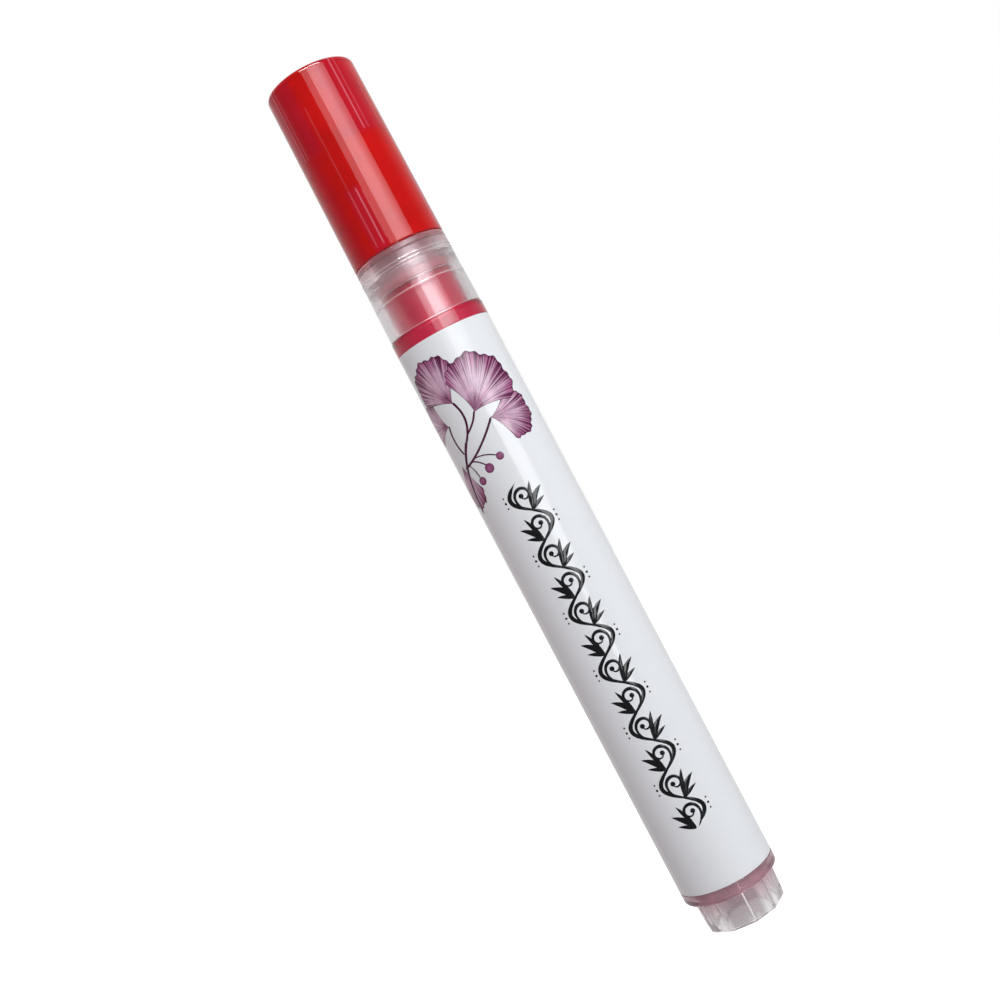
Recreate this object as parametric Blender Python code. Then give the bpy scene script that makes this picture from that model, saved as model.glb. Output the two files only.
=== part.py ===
# A valve-action nail art pen, standing on its end plug with the nib up and the cap on.
# Metres, +Z up. The pen's axis is Z, and the origin is the middle of the plug's foot.
# The side of the pen that carries the front of the label faces -Y.

import math

import bmesh
import bpy
import numpy as np
from mathutils import Matrix

MM = 0.001

# Clearances
SLIDE_GAP = 0.3 * MM  # radial, round a piece that slides or drops into another
FIT_GAP = 0.2 * MM  # radial, round a piece that is pushed home and stays
SEAT_GAP = 0.2 * MM  # axial, between faces that rest on each other
FILM_GAP = 0.08 * MM  # radial, label film to barrel

# Facets round a turned piece
OUTER_SIDES = 40
INNER_SIDES = 24
FINE_SIDES = 16

# Barrel, which is the ink tank
BARREL_RADIUS = 7.0 * MM
BARREL_WALL = 1.5 * MM
BARREL_LENGTH = 87.2 * MM  # foot rim to shoulder
BARREL_RIM_FILLET = 0.7 * MM
SHOULDER_FILLET = 0.25 * MM
SHOULDER_WALL = 0.7 * MM
TANK_CONE_HEIGHT = 0.3 * MM  # the tank's ceiling falls this far from the neck out to the wall
NECK_WALL = 1.1 * MM
NECK_LENGTH = 6.2 * MM
NECK_CHAMFER = 0.3 * MM
NECK_BEAD_BELOW_TOP = 1.4 * MM

# Label, a film wrapped round a shallow panel of the barrel
LABEL_THICKNESS = 0.12 * MM
LABEL_BARE_FOOT = 1.85 * MM  # bare barrel below the label
LABEL_BARE_TOP = 2.1 * MM  # bare barrel above the label
LABEL_END_GAP = 0.1 * MM
LABEL_SEAM_DEGREES = 3.0

# End plug, a moulded cup pushed into the barrel from behind
PLUG_SIDES = 10
PLUG_TURN_DEGREES = 4.1  # from the front of the pen to the nearest corner
PLUG_LEDGE = 0.65 * MM  # how far the head's corners stand over the bore
PLUG_DRAFT = 0.2 * MM
PLUG_CHAMFER = 0.4 * MM
PLUG_HEAD_HEIGHT = 4.5 * MM
PLUG_SPIGOT_LENGTH = 7.2 * MM
PLUG_WALL = 1.0 * MM
PLUG_WEB = 1.2 * MM
PLUG_SEAL_HEIGHT = 0.2 * MM
PLUG_SEAL_WIDTH = 0.8 * MM
PLUG_SEAL_COUNT = 2

# Front collar, the clear ring between the barrel and the cap, with the cap's spigot
COLLAR_STEP = 0.08 * MM
COLLAR_DRAFT = 0.13 * MM
COLLAR_WALL = 1.2 * MM
COLLAR_HEAD = 2.65 * MM  # from the ledge inside to the cap's seat
COLLAR_GROOVE_DEPTH = 0.12 * MM
COLLAR_GROOVE_WIDTH = 0.24 * MM
COLLAR_GROOVES_BELOW_SEAT = (0.85 * MM, 3.8 * MM)
COLLAR_BEAD_HEIGHT = 0.07 * MM
COLLAR_BEAD_WIDTH = 0.3 * MM
COLLAR_BEADS_BELOW_SEAT = (2.0 * MM, 2.5 * MM)
COLLAR_RING_STEP = 0.02 * MM  # at the height of the snap ring inside
COLLAR_RING_WIDTH = 0.2 * MM
SNAP_BEAD = 0.15 * MM
SNAP_WIDTH = 0.8 * MM
SPIGOT_WALL = 0.9 * MM
SPIGOT_FRONT_WALL = 2.5 * MM
SPIGOT_NOSE_FILLET = 0.8 * MM

# Valve, between the barrel's neck and the nose
GASKET_THICKNESS = 0.6 * MM
HOUSING_FLANGE = 0.9 * MM
HOUSING_RISE = 3.4 * MM  # from the flange up to the washer's seat
HOUSING_PLUG = 1.9 * MM  # the length that closes the barrel's neck
HOUSING_WALL = 0.8 * MM
HOUSING_DEPTH = 9.8 * MM  # how far the spring tube reaches below the flange
HOUSING_WINDOWS = 4
HOUSING_WINDOW_WIDTH = 1.2 * MM
HOUSING_WINDOW_HEIGHT = 2.6 * MM
WASHER_THICKNESS = 0.7 * MM
WASHER_WIDTH = 2.1 * MM
STEM_RADIUS = 0.9 * MM
STEM_SLACK = 0.4 * MM  # the ink's way up past the stem
POPPET_THICKNESS = 1.2 * MM
GUIDE_RADIUS = 0.8 * MM
GUIDE_ROOM = 3.6 * MM  # left below the guide when the nib is pressed right in
SPRING_RADIUS = 1.6 * MM  # to the middle of the wire
SPRING_WIRE = 0.4 * MM
SPRING_TURNS = 5  # open turns, with one closer turn at each end
SPRING_END_PITCH = 0.9 * MM
SPRING_POINTS_PER_TURN = 10
RETAINER_SPIGOT = 1.4 * MM
RETAINER_FLANGE = 0.7 * MM
RETAINER_WALL = 1.0 * MM

# Nose and nib
NOSE_FLANGE = 2.0 * MM
NOSE_BODY_WALL = 1.3 * MM
NOSE_BODY_LENGTH = 4.1 * MM
NOSE_SHOULDER = 0.6 * MM
NOSE_CONE_STEP = 0.5 * MM
NOSE_CONE_LENGTH = 10.4 * MM
NOSE_TIP_WALL = 0.55 * MM
NOSE_TIP_FILLET = 0.25 * MM
SLEEVE_WALL = 0.5 * MM
SLEEVE_FLANGE = 0.8 * MM
SLEEVE_FLANGE_STEP = 0.55 * MM
SLEEVE_STANDOUT = 2.6 * MM
SLEEVE_TAPER = 1.7 * MM
SLEEVE_END_WALL = 0.12 * MM
SLEEVE_TAIL = 1.3 * MM  # nib behind the sleeve
NIB_RADIUS = 0.75 * MM
NIB_STANDOUT = 2.1 * MM
NIB_POINT_RADIUS = 0.32 * MM
NIB_TRAVEL = 1.5 * MM

# Cap, with a soft liner that seals round the nose
CAP_NIB_ROOM = 2.8 * MM  # from the nib's tip to the liner's end
CAP_DRAFT = 0.23 * MM
CAP_WALL = 0.75 * MM
CAP_ROOF = 1.0 * MM
CAP_FILLET = 0.7 * MM
CAP_MOUTH_CHAMFER = 0.15 * MM
CAP_BEAD_ABOVE_MOUTH = 0.9 * MM
CAP_RIBS = 4
CAP_RIB_TURN_DEGREES = -16.0
CAP_RIB_DEPTH = 0.3 * MM
CAP_RIB_WIDTH = 1.1 * MM
CAP_RIB_START = 0.6 * MM  # above the mouth
CAP_RIB_LENGTH = 8.5 * MM
SOCKET_LENGTH = 10.5 * MM
SOCKET_WALL = 0.7 * MM
CAP_WEBS = 4  # thin webs that join the socket to the cap's wall
CAP_WEB_TURN_DEGREES = 36.0
CAP_WEB_WIDTH = 0.8 * MM
CAP_WEB_SETBACK = 0.4 * MM  # from the socket's mouth
LINER_WALL = 0.6 * MM
LINER_LIP = 2.0 * MM  # lip below the socket
LINER_LIP_FLARE = 0.5 * MM

# Ink and mixing ball
BALL_RADIUS = 2.5 * MM
BALL_WAY_GAP = 0.4 * MM
BALL_HEADROOM = 0.4 * MM

# Radii, from the outside of the pen inwards
barrel_bore = BARREL_RADIUS - BARREL_WALL
panel_radius = BARREL_RADIUS - LABEL_THICKNESS - FILM_GAP
collar_radius = BARREL_RADIUS - COLLAR_STEP
collar_top_radius = collar_radius - COLLAR_DRAFT
collar_bore = collar_radius - COLLAR_WALL
neck_radius = collar_bore - SLIDE_GAP
neck_bore = neck_radius - NECK_WALL
cap_mouth_radius = collar_top_radius
cap_top_radius = cap_mouth_radius - CAP_DRAFT
cap_bore = cap_mouth_radius - CAP_WALL
spigot_radius = cap_bore - CAP_RIB_DEPTH - SLIDE_GAP
chamber_radius = spigot_radius - SPIGOT_WALL
housing_plug_radius = neck_bore - SLIDE_GAP
plug_spigot_radius = barrel_bore - SLIDE_GAP
plug_corner_radius = barrel_bore + PLUG_LEDGE
plug_recess_radius = plug_spigot_radius - PLUG_WALL

# Radii, from the pen's axis outwards
sleeve_bore = NIB_RADIUS + FIT_GAP
sleeve_radius = sleeve_bore + SLEEVE_WALL
sleeve_flange_radius = sleeve_radius + SLEEVE_FLANGE_STEP
nose_bore = sleeve_radius + SLIDE_GAP
nose_tip_radius = nose_bore + NOSE_TIP_WALL
nose_chamber_radius = sleeve_flange_radius + SLIDE_GAP
nose_body_radius = nose_chamber_radius + NOSE_BODY_WALL
nose_cone_radius = nose_body_radius - NOSE_CONE_STEP
nose_flange_radius = max(chamber_radius - SLIDE_GAP, nose_body_radius + SLIDE_GAP)
front_hole_radius = nose_body_radius + SLIDE_GAP
washer_bore = STEM_RADIUS + STEM_SLACK
washer_radius = washer_bore + WASHER_WIDTH
housing_bore = SPRING_RADIUS + SPRING_WIRE / 2 + STEM_SLACK
housing_radius = housing_bore + HOUSING_WALL
poppet_radius = housing_bore - SLIDE_GAP
retainer_spigot_radius = housing_bore - FIT_GAP
retainer_flange_radius = housing_radius - SEAT_GAP / 2
retainer_hole_radius = retainer_spigot_radius - RETAINER_WALL
ink_way_radius = BALL_RADIUS + BALL_WAY_GAP

# Heights, from the foot up
barrel_foot = PLUG_HEAD_HEIGHT + SEAT_GAP
label_foot = barrel_foot + LABEL_BARE_FOOT
shoulder = barrel_foot + BARREL_LENGTH
label_top = shoulder - LABEL_BARE_TOP
neck_top = shoulder + NECK_LENGTH
gasket_foot = neck_top + SEAT_GAP
gasket_top = gasket_foot + GASKET_THICKNESS
flange_foot = gasket_top + SEAT_GAP
flange_top = flange_foot + HOUSING_FLANGE
collar_foot = shoulder + SEAT_GAP
collar_ledge = flange_top + SEAT_GAP
collar_seat = collar_ledge + COLLAR_HEAD
snap_height = neck_top - NECK_BEAD_BELOW_TOP
housing_top = flange_top + HOUSING_RISE
housing_foot = flange_foot - HOUSING_DEPTH
housing_plug_foot = flange_foot - HOUSING_PLUG
washer_foot = housing_top - WASHER_THICKNESS
poppet_top = washer_foot - SEAT_GAP
poppet_foot = poppet_top - POPPET_THICKNESS
guide_foot = housing_foot + RETAINER_SPIGOT + NIB_TRAVEL + GUIDE_ROOM
nose_foot = housing_top + SEAT_GAP
nose_flange_top = nose_foot + NOSE_FLANGE
front_ledge = nose_flange_top + SEAT_GAP
spigot_top = front_ledge + SPIGOT_FRONT_WALL
nose_body_top = nose_flange_top + NOSE_BODY_LENGTH
nose_cone_foot = nose_body_top + NOSE_SHOULDER
nose_tip = nose_cone_foot + NOSE_CONE_LENGTH
sleeve_stop = nose_cone_foot + SLIDE_GAP
sleeve_flange_top = sleeve_stop - SEAT_GAP
sleeve_foot = sleeve_flange_top - SLEEVE_FLANGE
sleeve_top = nose_tip + SLEEVE_STANDOUT
nib_foot = sleeve_foot - SLEEVE_TAIL
nib_tip = sleeve_top + NIB_STANDOUT
stem_top = nib_foot - SEAT_GAP
retainer_top = housing_foot + RETAINER_SPIGOT
retainer_seat = housing_foot - SEAT_GAP
retainer_foot = retainer_seat - RETAINER_FLANGE
cap_mouth = collar_seat + SEAT_GAP
liner_ceiling = nib_tip + CAP_NIB_ROOM
liner_top = liner_ceiling + LINER_WALL
cap_ceiling = liner_top + SEAT_GAP
cap_top = cap_ceiling + CAP_ROOF
socket_foot = cap_ceiling - SOCKET_LENGTH
liner_shoulder = socket_foot - SEAT_GAP
lip_foot = liner_shoulder - LINER_LIP
seal_height = lip_foot + LINER_LIP / 2
cap_bead_height = cap_mouth + CAP_BEAD_ABOVE_MOUTH
plug_spigot_top = PLUG_HEAD_HEIGHT + PLUG_SPIGOT_LENGTH
ink_foot = plug_spigot_top + SLIDE_GAP
ball_centre = plug_spigot_top + SEAT_GAP + BALL_RADIUS
ball_travel = retainer_foot - BALL_HEADROOM - BALL_RADIUS - ball_centre


def nose_radius(height):
    # The outside of the nose's cone, which narrows evenly to its tip.
    share = (height - nose_cone_foot) / (nose_tip - nose_cone_foot)
    return nose_cone_radius + (nose_tip_radius - nose_cone_radius) * min(max(share, 0), 1)


def collar_outside(height):
    # The collar's drafted wall, a little stouter below the ring over the snap.
    share = (collar_seat - height) / (collar_seat - collar_foot)
    step = COLLAR_RING_STEP if height > snap_height else 0
    return collar_top_radius + COLLAR_DRAFT * share - step


# Radii that follow the nose's cone
liner_bore = nose_radius(seal_height) + SLIDE_GAP
liner_radius = liner_bore + LINER_WALL
socket_bore = liner_radius + FIT_GAP
socket_radius = socket_bore + SOCKET_WALL


def material(name, colour, roughness, metallic=0.0, transmission=0.0):
    made = bpy.data.materials.new(name)
    made.use_nodes = True
    shader = made.node_tree.nodes["Principled BSDF"]
    shader.inputs["Base Color"].default_value = (*colour, 1.0)
    shader.inputs["Roughness"].default_value = roughness
    shader.inputs["Metallic"].default_value = metallic
    shader.inputs["Transmission Weight"].default_value = transmission
    made.diffuse_color = (*colour, 1.0)
    return made


def axis_empty(name, height):
    # A body's empty stands on the pen's axis, which every joint slides along.
    empty = bpy.data.objects.new(name, None)
    empty.location.z = height
    empty.empty_display_size = BARREL_RADIUS
    bpy.context.scene.collection.objects.link(empty)
    return empty


def add_object(name, shape, finish, body, base):
    # The bmesh is in pen heights; the object's origin goes on the axis at its base.
    bmesh.ops.translate(shape, verts=shape.verts, vec=(0, 0, -base))
    mesh = bpy.data.meshes.new(name)
    shape.to_mesh(mesh)
    shape.free()
    mesh.shade_smooth()
    mesh.set_sharp_from_angle(angle=math.radians(30))
    mesh.materials.append(finish)
    piece = bpy.data.objects.new(name, mesh)
    piece.parent = body
    piece.location.z = base - body.location.z
    bpy.context.scene.collection.objects.link(piece)
    return piece


def combine(piece, helper, operation):
    helper.hide_render = True
    helper.display_type = "WIRE"
    step = piece.modifiers.new(helper.name, "BOOLEAN")
    step.operation = operation
    step.object = helper


def arc(centre, radius, start, end, steps=4):
    # Points of an arc in the (radius, height) plane, degrees anticlockwise from outwards.
    angles = [math.radians(start + (end - start) * k / steps) for k in range(steps + 1)]
    return [(centre[0] + radius * math.cos(a), centre[1] + radius * math.sin(a)) for a in angles]


def turned_shape(section, sides):
    # Spins a section, given as (radius, height) points, once round the axis.
    # A section that starts and ends on the axis stays open there; any other is a closed ring.
    shape = bmesh.new()
    points = [shape.verts.new((radius, 0, height)) for radius, height in section]
    edges = [shape.edges.new(pair) for pair in zip(points, points[1:])]
    if section[0][0] > 0 or section[-1][0] > 0:
        edges.append(shape.edges.new((points[-1], points[0])))
    whole = points + edges
    bmesh.ops.spin(
        shape, geom=whole, cent=(0, 0, 0), axis=(0, 0, 1), angle=math.tau, steps=sides, use_merge=True
    )
    bmesh.ops.remove_doubles(shape, verts=shape.verts, dist=1e-7)
    bmesh.ops.recalc_face_normals(shape, faces=shape.faces)
    return shape


def turned(name, section, sides, finish, body, base):
    return add_object(name, turned_shape(section, sides), finish, body, base)


def bars(name, count, first_degrees, inside, outside, width, foot, top, body):
    # Radial bars round the axis, from one radius to another, the first turned from the front.
    shape = bmesh.new()
    size = Matrix.Diagonal((width, outside - inside, top - foot, 1))
    place = Matrix.Translation((0, -(inside + outside) / 2, (foot + top) / 2))
    for k in range(count):
        turn = Matrix.Rotation(math.radians(first_degrees) + math.tau * k / count, 4, "Z")
        bmesh.ops.create_cube(shape, size=1, matrix=turn @ place @ size)
    return add_object(name, shape, helper_finish, body, foot)


def groove(radius, height, width, depth):
    # A V cut into (or, with a negative depth, a bead on) a wall that is read downwards.
    return [(radius, height + width / 2), (radius - depth, height), (radius, height - width / 2)]


def make_barrel(body):
    outer_foot = BARREL_RADIUS - BARREL_RIM_FILLET
    outside = arc((outer_foot, barrel_foot + BARREL_RIM_FILLET), BARREL_RIM_FILLET, -90, 0)
    outside += [
        (BARREL_RADIUS, label_foot - LABEL_END_GAP),
        (panel_radius, label_foot - LABEL_END_GAP),
        (panel_radius, label_top + LABEL_END_GAP),
        (BARREL_RADIUS, label_top + LABEL_END_GAP),
    ]
    outside += arc((BARREL_RADIUS - SHOULDER_FILLET, shoulder - SHOULDER_FILLET), SHOULDER_FILLET, 0, 90, 2)
    neck = [
        (neck_radius, shoulder),
        *reversed(groove(neck_radius, snap_height, SNAP_WIDTH, -SNAP_BEAD)),
        (neck_radius, neck_top - NECK_CHAMFER),
        (neck_radius - NECK_CHAMFER, neck_top),
        (neck_bore, neck_top),
    ]
    cone_top = shoulder - SHOULDER_WALL
    inside = [
        (neck_bore, cone_top),
        (barrel_bore, cone_top - TANK_CONE_HEIGHT),
        (barrel_bore, barrel_foot),
    ]
    return turned("barrel", outside + neck + inside, OUTER_SIDES, frosted, body, barrel_foot)


def make_label(body):
    # A rectangle spun most of the way round, with the open seam at the back.
    shape = bmesh.new()
    inner = panel_radius + FILM_GAP
    outer = inner + LABEL_THICKNESS
    corners = [(inner, label_foot), (outer, label_foot), (outer, label_top), (inner, label_top)]
    seam = math.radians(LABEL_SEAM_DEGREES)
    start = math.pi / 2 + seam / 2
    ring = [shape.verts.new((r * math.cos(start), r * math.sin(start), z)) for r, z in corners]
    end_face = shape.faces.new(ring)
    bmesh.ops.spin(
        shape,
        geom=[*ring, *end_face.edges, end_face],
        cent=(0, 0, 0),
        axis=(0, 0, 1),
        angle=math.tau - seam,
        steps=OUTER_SIDES,
    )
    bmesh.ops.recalc_face_normals(shape, faces=shape.faces)
    return add_object("label", shape, label_white, body, label_foot)


def make_end_plug(body):
    # A turned spigot with its sealing beads, the ten-sided head, and the moulder's recess.
    section = [(0, plug_spigot_top), (plug_spigot_radius - PLUG_CHAMFER, plug_spigot_top)]
    section.append((plug_spigot_radius, plug_spigot_top - PLUG_CHAMFER))
    for k in range(PLUG_SEAL_COUNT):
        middle = plug_spigot_top - PLUG_SPIGOT_LENGTH * (k + 1) / (PLUG_SEAL_COUNT + 1)
        section += groove(plug_spigot_radius, middle, PLUG_SEAL_WIDTH, -PLUG_SEAL_HEIGHT)
    section += [(plug_spigot_radius, PLUG_CHAMFER), (0, PLUG_CHAMFER)]
    plug = turned("end_plug", section, OUTER_SIDES, clear, body, 0)

    head_foot_radius = plug_corner_radius - PLUG_DRAFT
    head_section = [
        (0, PLUG_HEAD_HEIGHT),
        (plug_corner_radius, PLUG_HEAD_HEIGHT),
        (head_foot_radius, PLUG_CHAMFER),
        (head_foot_radius - PLUG_CHAMFER, 0),
        (0, 0),
    ]
    head = turned("plug_head", head_section, PLUG_SIDES, helper_finish, body, 0)
    head.rotation_euler.z = math.radians(PLUG_TURN_DEGREES - 90)
    recess_top = plug_spigot_top - PLUG_WEB
    recess_section = [
        (0, recess_top),
        (plug_recess_radius - PLUG_CHAMFER, recess_top),
        (plug_recess_radius, recess_top - PLUG_CHAMFER),
        (plug_recess_radius, -PLUG_WEB),
        (0, -PLUG_WEB),
    ]
    recess = turned("plug_recess", recess_section, INNER_SIDES, helper_finish, body, 0)
    combine(plug, head, "UNION")
    combine(plug, recess, "DIFFERENCE")
    return plug


def make_front_collar(body):
    # Fine rings outside, from the seat down, then a groove inside for the neck's snap bead.
    rings = [(depth, COLLAR_GROOVE_WIDTH, COLLAR_GROOVE_DEPTH) for depth in COLLAR_GROOVES_BELOW_SEAT]
    rings += [(depth, COLLAR_BEAD_WIDTH, -COLLAR_BEAD_HEIGHT) for depth in COLLAR_BEADS_BELOW_SEAT]
    outside = [(collar_top_radius, collar_seat)]
    for depth, width, sink in sorted(rings):
        height = collar_seat - depth
        outside += groove(collar_outside(height), height, width, sink)
    outside += [
        (collar_outside(snap_height + COLLAR_RING_WIDTH), snap_height + COLLAR_RING_WIDTH),
        (collar_outside(snap_height), snap_height),
        (collar_radius, collar_foot),
    ]
    inside = [
        (collar_bore, collar_foot),
        *reversed(groove(collar_bore, snap_height, SNAP_WIDTH, -SNAP_BEAD)),
        (collar_bore, collar_ledge),
        (chamber_radius, collar_ledge),
        (chamber_radius, front_ledge),
        (front_hole_radius, front_ledge),
        (front_hole_radius, spigot_top),
    ]
    nose_centre = (spigot_radius - SPIGOT_NOSE_FILLET, spigot_top - SPIGOT_NOSE_FILLET)
    spigot = arc(nose_centre, SPIGOT_NOSE_FILLET, 90, 0, 3)
    spigot += groove(spigot_radius, cap_bead_height + SNAP_WIDTH, SNAP_WIDTH, -SNAP_BEAD)
    spigot.append((spigot_radius, collar_seat))
    return turned("front_collar", outside + inside + spigot, OUTER_SIDES, clear, body, collar_foot)


def make_valve_housing(body):
    section = [
        (washer_radius + FIT_GAP, housing_top),
        (washer_radius + FIT_GAP, washer_foot - SEAT_GAP),
        (housing_bore, washer_foot - SEAT_GAP),
        (housing_bore, housing_foot),
        (housing_radius, housing_foot),
        (housing_radius, housing_plug_foot),
        (housing_plug_radius, housing_plug_foot),
        (housing_plug_radius, flange_foot),
        (neck_radius, flange_foot),
        (neck_radius, flange_top),
        (chamber_radius - SLIDE_GAP, flange_top),
        (chamber_radius - SLIDE_GAP, housing_top),
    ]
    housing = turned("valve_housing", section, INNER_SIDES, natural, body, housing_foot)
    window_top = housing_plug_foot - HOUSING_WALL
    windows = bars(
        "housing_windows",
        HOUSING_WINDOWS,
        180 / HOUSING_WINDOWS,
        housing_bore - HOUSING_WALL,
        housing_radius + HOUSING_WALL,
        HOUSING_WINDOW_WIDTH,
        window_top - HOUSING_WINDOW_HEIGHT,
        window_top,
        body,
    )
    combine(housing, windows, "DIFFERENCE")
    return housing


def make_ring(name, inner, outer, foot, top, sides, finish, body):
    section = [(inner, foot), (outer, foot), (outer, top), (inner, top)]
    return turned(name, section, sides, finish, body, foot)


def make_spring_retainer(body):
    section = [
        (retainer_hole_radius, retainer_foot),
        (retainer_flange_radius, retainer_foot),
        (retainer_flange_radius, retainer_seat),
        (retainer_spigot_radius, retainer_seat),
        (retainer_spigot_radius, retainer_top),
        (retainer_hole_radius, retainer_top),
    ]
    return turned("spring_retainer", section, INNER_SIDES, natural, body, retainer_foot)


def spring_points():
    # Round wire that stands on the retainer and reaches up to the poppet: a close turn at
    # each end and evenly open ones between.
    foot = retainer_top + SEAT_GAP + SPRING_WIRE / 2
    top = poppet_foot - SEAT_GAP - SPRING_WIRE / 2
    turns = np.linspace(0, SPRING_TURNS + 2, (SPRING_TURNS + 2) * SPRING_POINTS_PER_TURN + 1)
    bends = [0, 1, SPRING_TURNS + 1, SPRING_TURNS + 2]
    height = np.interp(turns, bends, [foot, foot + SPRING_END_PITCH, top - SPRING_END_PITCH, top])
    angle = math.tau * turns
    return np.stack([SPRING_RADIUS * np.cos(angle), SPRING_RADIUS * np.sin(angle), height], axis=1)


def least_gap(points, wire, half_turn):
    # The least distance between turns, less the wire's diameter.
    least = math.inf
    for k in range(len(points) - half_turn):
        least = min(least, np.linalg.norm(points[k + half_turn :] - points[k], axis=1).min())
    return least - wire


def make_valve_spring(body):
    points = spring_points()
    gap = least_gap(points, SPRING_WIRE, SPRING_POINTS_PER_TURN // 2 + 1)
    print(f"valve_spring: least gap between turns {gap / MM:.2f} mm")
    base = retainer_top
    curve = bpy.data.curves.new("valve_spring", "CURVE")
    curve.dimensions = "3D"
    curve.bevel_depth = SPRING_WIRE / 2
    curve.bevel_resolution = 1
    curve.use_fill_caps = True
    line = curve.splines.new("POLY")
    line.points.add(len(points) - 1)
    for point, (x, y, z) in zip(line.points, points):
        point.co = (x, y, z - base, 1)
    curve.materials.append(steel)
    piece = bpy.data.objects.new("valve_spring", curve)
    piece.parent = body
    piece.location.z = base - body.location.z
    bpy.context.scene.collection.objects.link(piece)
    return piece


def make_valve_plunger(body):
    section = [
        (0, stem_top),
        (STEM_RADIUS, stem_top),
        (STEM_RADIUS, poppet_top),
        (poppet_radius, poppet_top),
        (poppet_radius, poppet_foot),
        (GUIDE_RADIUS, poppet_foot),
        (GUIDE_RADIUS, guide_foot + GUIDE_RADIUS / 2),
        (GUIDE_RADIUS / 2, guide_foot),
        (0, guide_foot),
    ]
    return turned("valve_plunger", section, FINE_SIDES, natural, body, stem_top)


def make_nose_cone(body):
    outside = [
        (nose_chamber_radius, nose_foot),
        (nose_flange_radius, nose_foot),
        (nose_flange_radius, nose_flange_top),
        (nose_body_radius, nose_flange_top),
        (nose_body_radius, nose_body_top),
        (nose_cone_radius, nose_cone_foot),
    ]
    tip_centre = (nose_tip_radius - NOSE_TIP_FILLET, nose_tip - NOSE_TIP_FILLET)
    outside += arc(tip_centre, NOSE_TIP_FILLET, 0, 90, 2)
    inside = [
        (nose_bore, nose_tip),
        (nose_bore, sleeve_stop),
        (nose_chamber_radius, sleeve_stop),
    ]
    return turned("nose_cone", outside + inside, INNER_SIDES, natural, body, nose_foot)


def make_nib_sleeve(body):
    section = [
        (sleeve_bore, sleeve_foot),
        (sleeve_flange_radius, sleeve_foot),
        (sleeve_flange_radius, sleeve_flange_top),
        (sleeve_radius, sleeve_flange_top),
        (sleeve_radius, sleeve_top - SLEEVE_TAPER),
        (sleeve_bore + SLEEVE_END_WALL, sleeve_top),
        (sleeve_bore, sleeve_top),
    ]
    return turned("nib_sleeve", section, INNER_SIDES, white, body, sleeve_foot)


def make_nib(body):
    point_foot = sleeve_top + SEAT_GAP
    point = arc((0, nib_tip - NIB_POINT_RADIUS), NIB_POINT_RADIUS, 30, 90, 2)
    section = [(0, nib_foot), (NIB_RADIUS, nib_foot), (NIB_RADIUS, point_foot)]
    section += [*point[:-1], (0, nib_tip)]
    return turned("nib", section, FINE_SIDES, fibre, body, nib_foot)


def make_cap_shell(body):
    outside = [(0, cap_top)]
    outside += arc((cap_top_radius - CAP_FILLET, cap_top - CAP_FILLET), CAP_FILLET, 90, 0)
    outside += [
        (cap_mouth_radius, cap_mouth + CAP_MOUTH_CHAMFER),
        (cap_mouth_radius - CAP_MOUTH_CHAMFER, cap_mouth),
        (cap_bore + CAP_MOUTH_CHAMFER, cap_mouth),
        (cap_bore, cap_mouth + CAP_MOUTH_CHAMFER),
    ]
    inside = [
        *reversed(groove(cap_bore, cap_bead_height, SNAP_WIDTH, SNAP_BEAD)),
        (cap_bore - CAP_DRAFT, cap_ceiling),
        (socket_radius, cap_ceiling),
        (socket_radius, socket_foot),
        (socket_bore, socket_foot),
        (socket_bore, cap_ceiling),
        (0, cap_ceiling),
    ]
    shell = turned("cap_shell", outside + inside, OUTER_SIDES, red, body, cap_mouth)
    guide_ribs = bars(
        "cap_guide_ribs",
        CAP_RIBS,
        CAP_RIB_TURN_DEGREES,
        cap_bore - CAP_RIB_DEPTH,
        cap_bore + CAP_WALL / 2,
        CAP_RIB_WIDTH,
        cap_mouth + CAP_RIB_START,
        cap_mouth + CAP_RIB_START + CAP_RIB_LENGTH,
        body,
    )
    webs = bars(
        "cap_webs",
        CAP_WEBS,
        CAP_WEB_TURN_DEGREES,
        (socket_bore + socket_radius) / 2,
        cap_bore - CAP_DRAFT + CAP_WALL / 2,
        CAP_WEB_WIDTH,
        socket_foot + CAP_WEB_SETBACK,
        cap_ceiling + CAP_ROOF / 2,
        body,
    )
    combine(shell, guide_ribs, "UNION")
    combine(shell, webs, "UNION")
    return shell


def make_cap_liner(body):
    # A soft cup pushed into the cap's socket; its flared lip closes round the nose.
    section = [
        (0, liner_top),
        (liner_radius, liner_top),
        (liner_radius, liner_shoulder),
        (liner_radius + LINER_LIP_FLARE, liner_shoulder),
        (liner_radius + LINER_LIP_FLARE, lip_foot),
        (liner_bore + LINER_LIP_FLARE, lip_foot),
        (liner_bore, seal_height),
        (nose_tip_radius + SLIDE_GAP, nose_tip + SEAT_GAP),
        (nose_tip_radius + SLIDE_GAP, liner_ceiling),
        (0, liner_ceiling),
    ]
    return turned("cap_liner", section, INNER_SIDES, soft_white, body, lip_foot)


def make_ink(body):
    # The ink as a solid, with a clear way down its middle for the ball and the valve's tube.
    neck_ink_radius = neck_bore - SLIDE_GAP
    tank_ink_radius = barrel_bore - SLIDE_GAP
    cone_top = shoulder - SHOULDER_WALL - SEAT_GAP
    tube_way_radius = housing_radius + SLIDE_GAP
    section = [
        (ink_way_radius, ink_foot),
        (tank_ink_radius, ink_foot),
        (tank_ink_radius, cone_top - TANK_CONE_HEIGHT),
        (neck_ink_radius, cone_top),
        (neck_ink_radius, housing_plug_foot - SLIDE_GAP),
        (tube_way_radius, housing_plug_foot - SLIDE_GAP),
        (tube_way_radius, retainer_foot - BALL_HEADROOM),
        (ink_way_radius, retainer_foot - BALL_HEADROOM),
    ]
    return turned("ink", section, OUTER_SIDES, ink_red, body, ink_foot)


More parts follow.
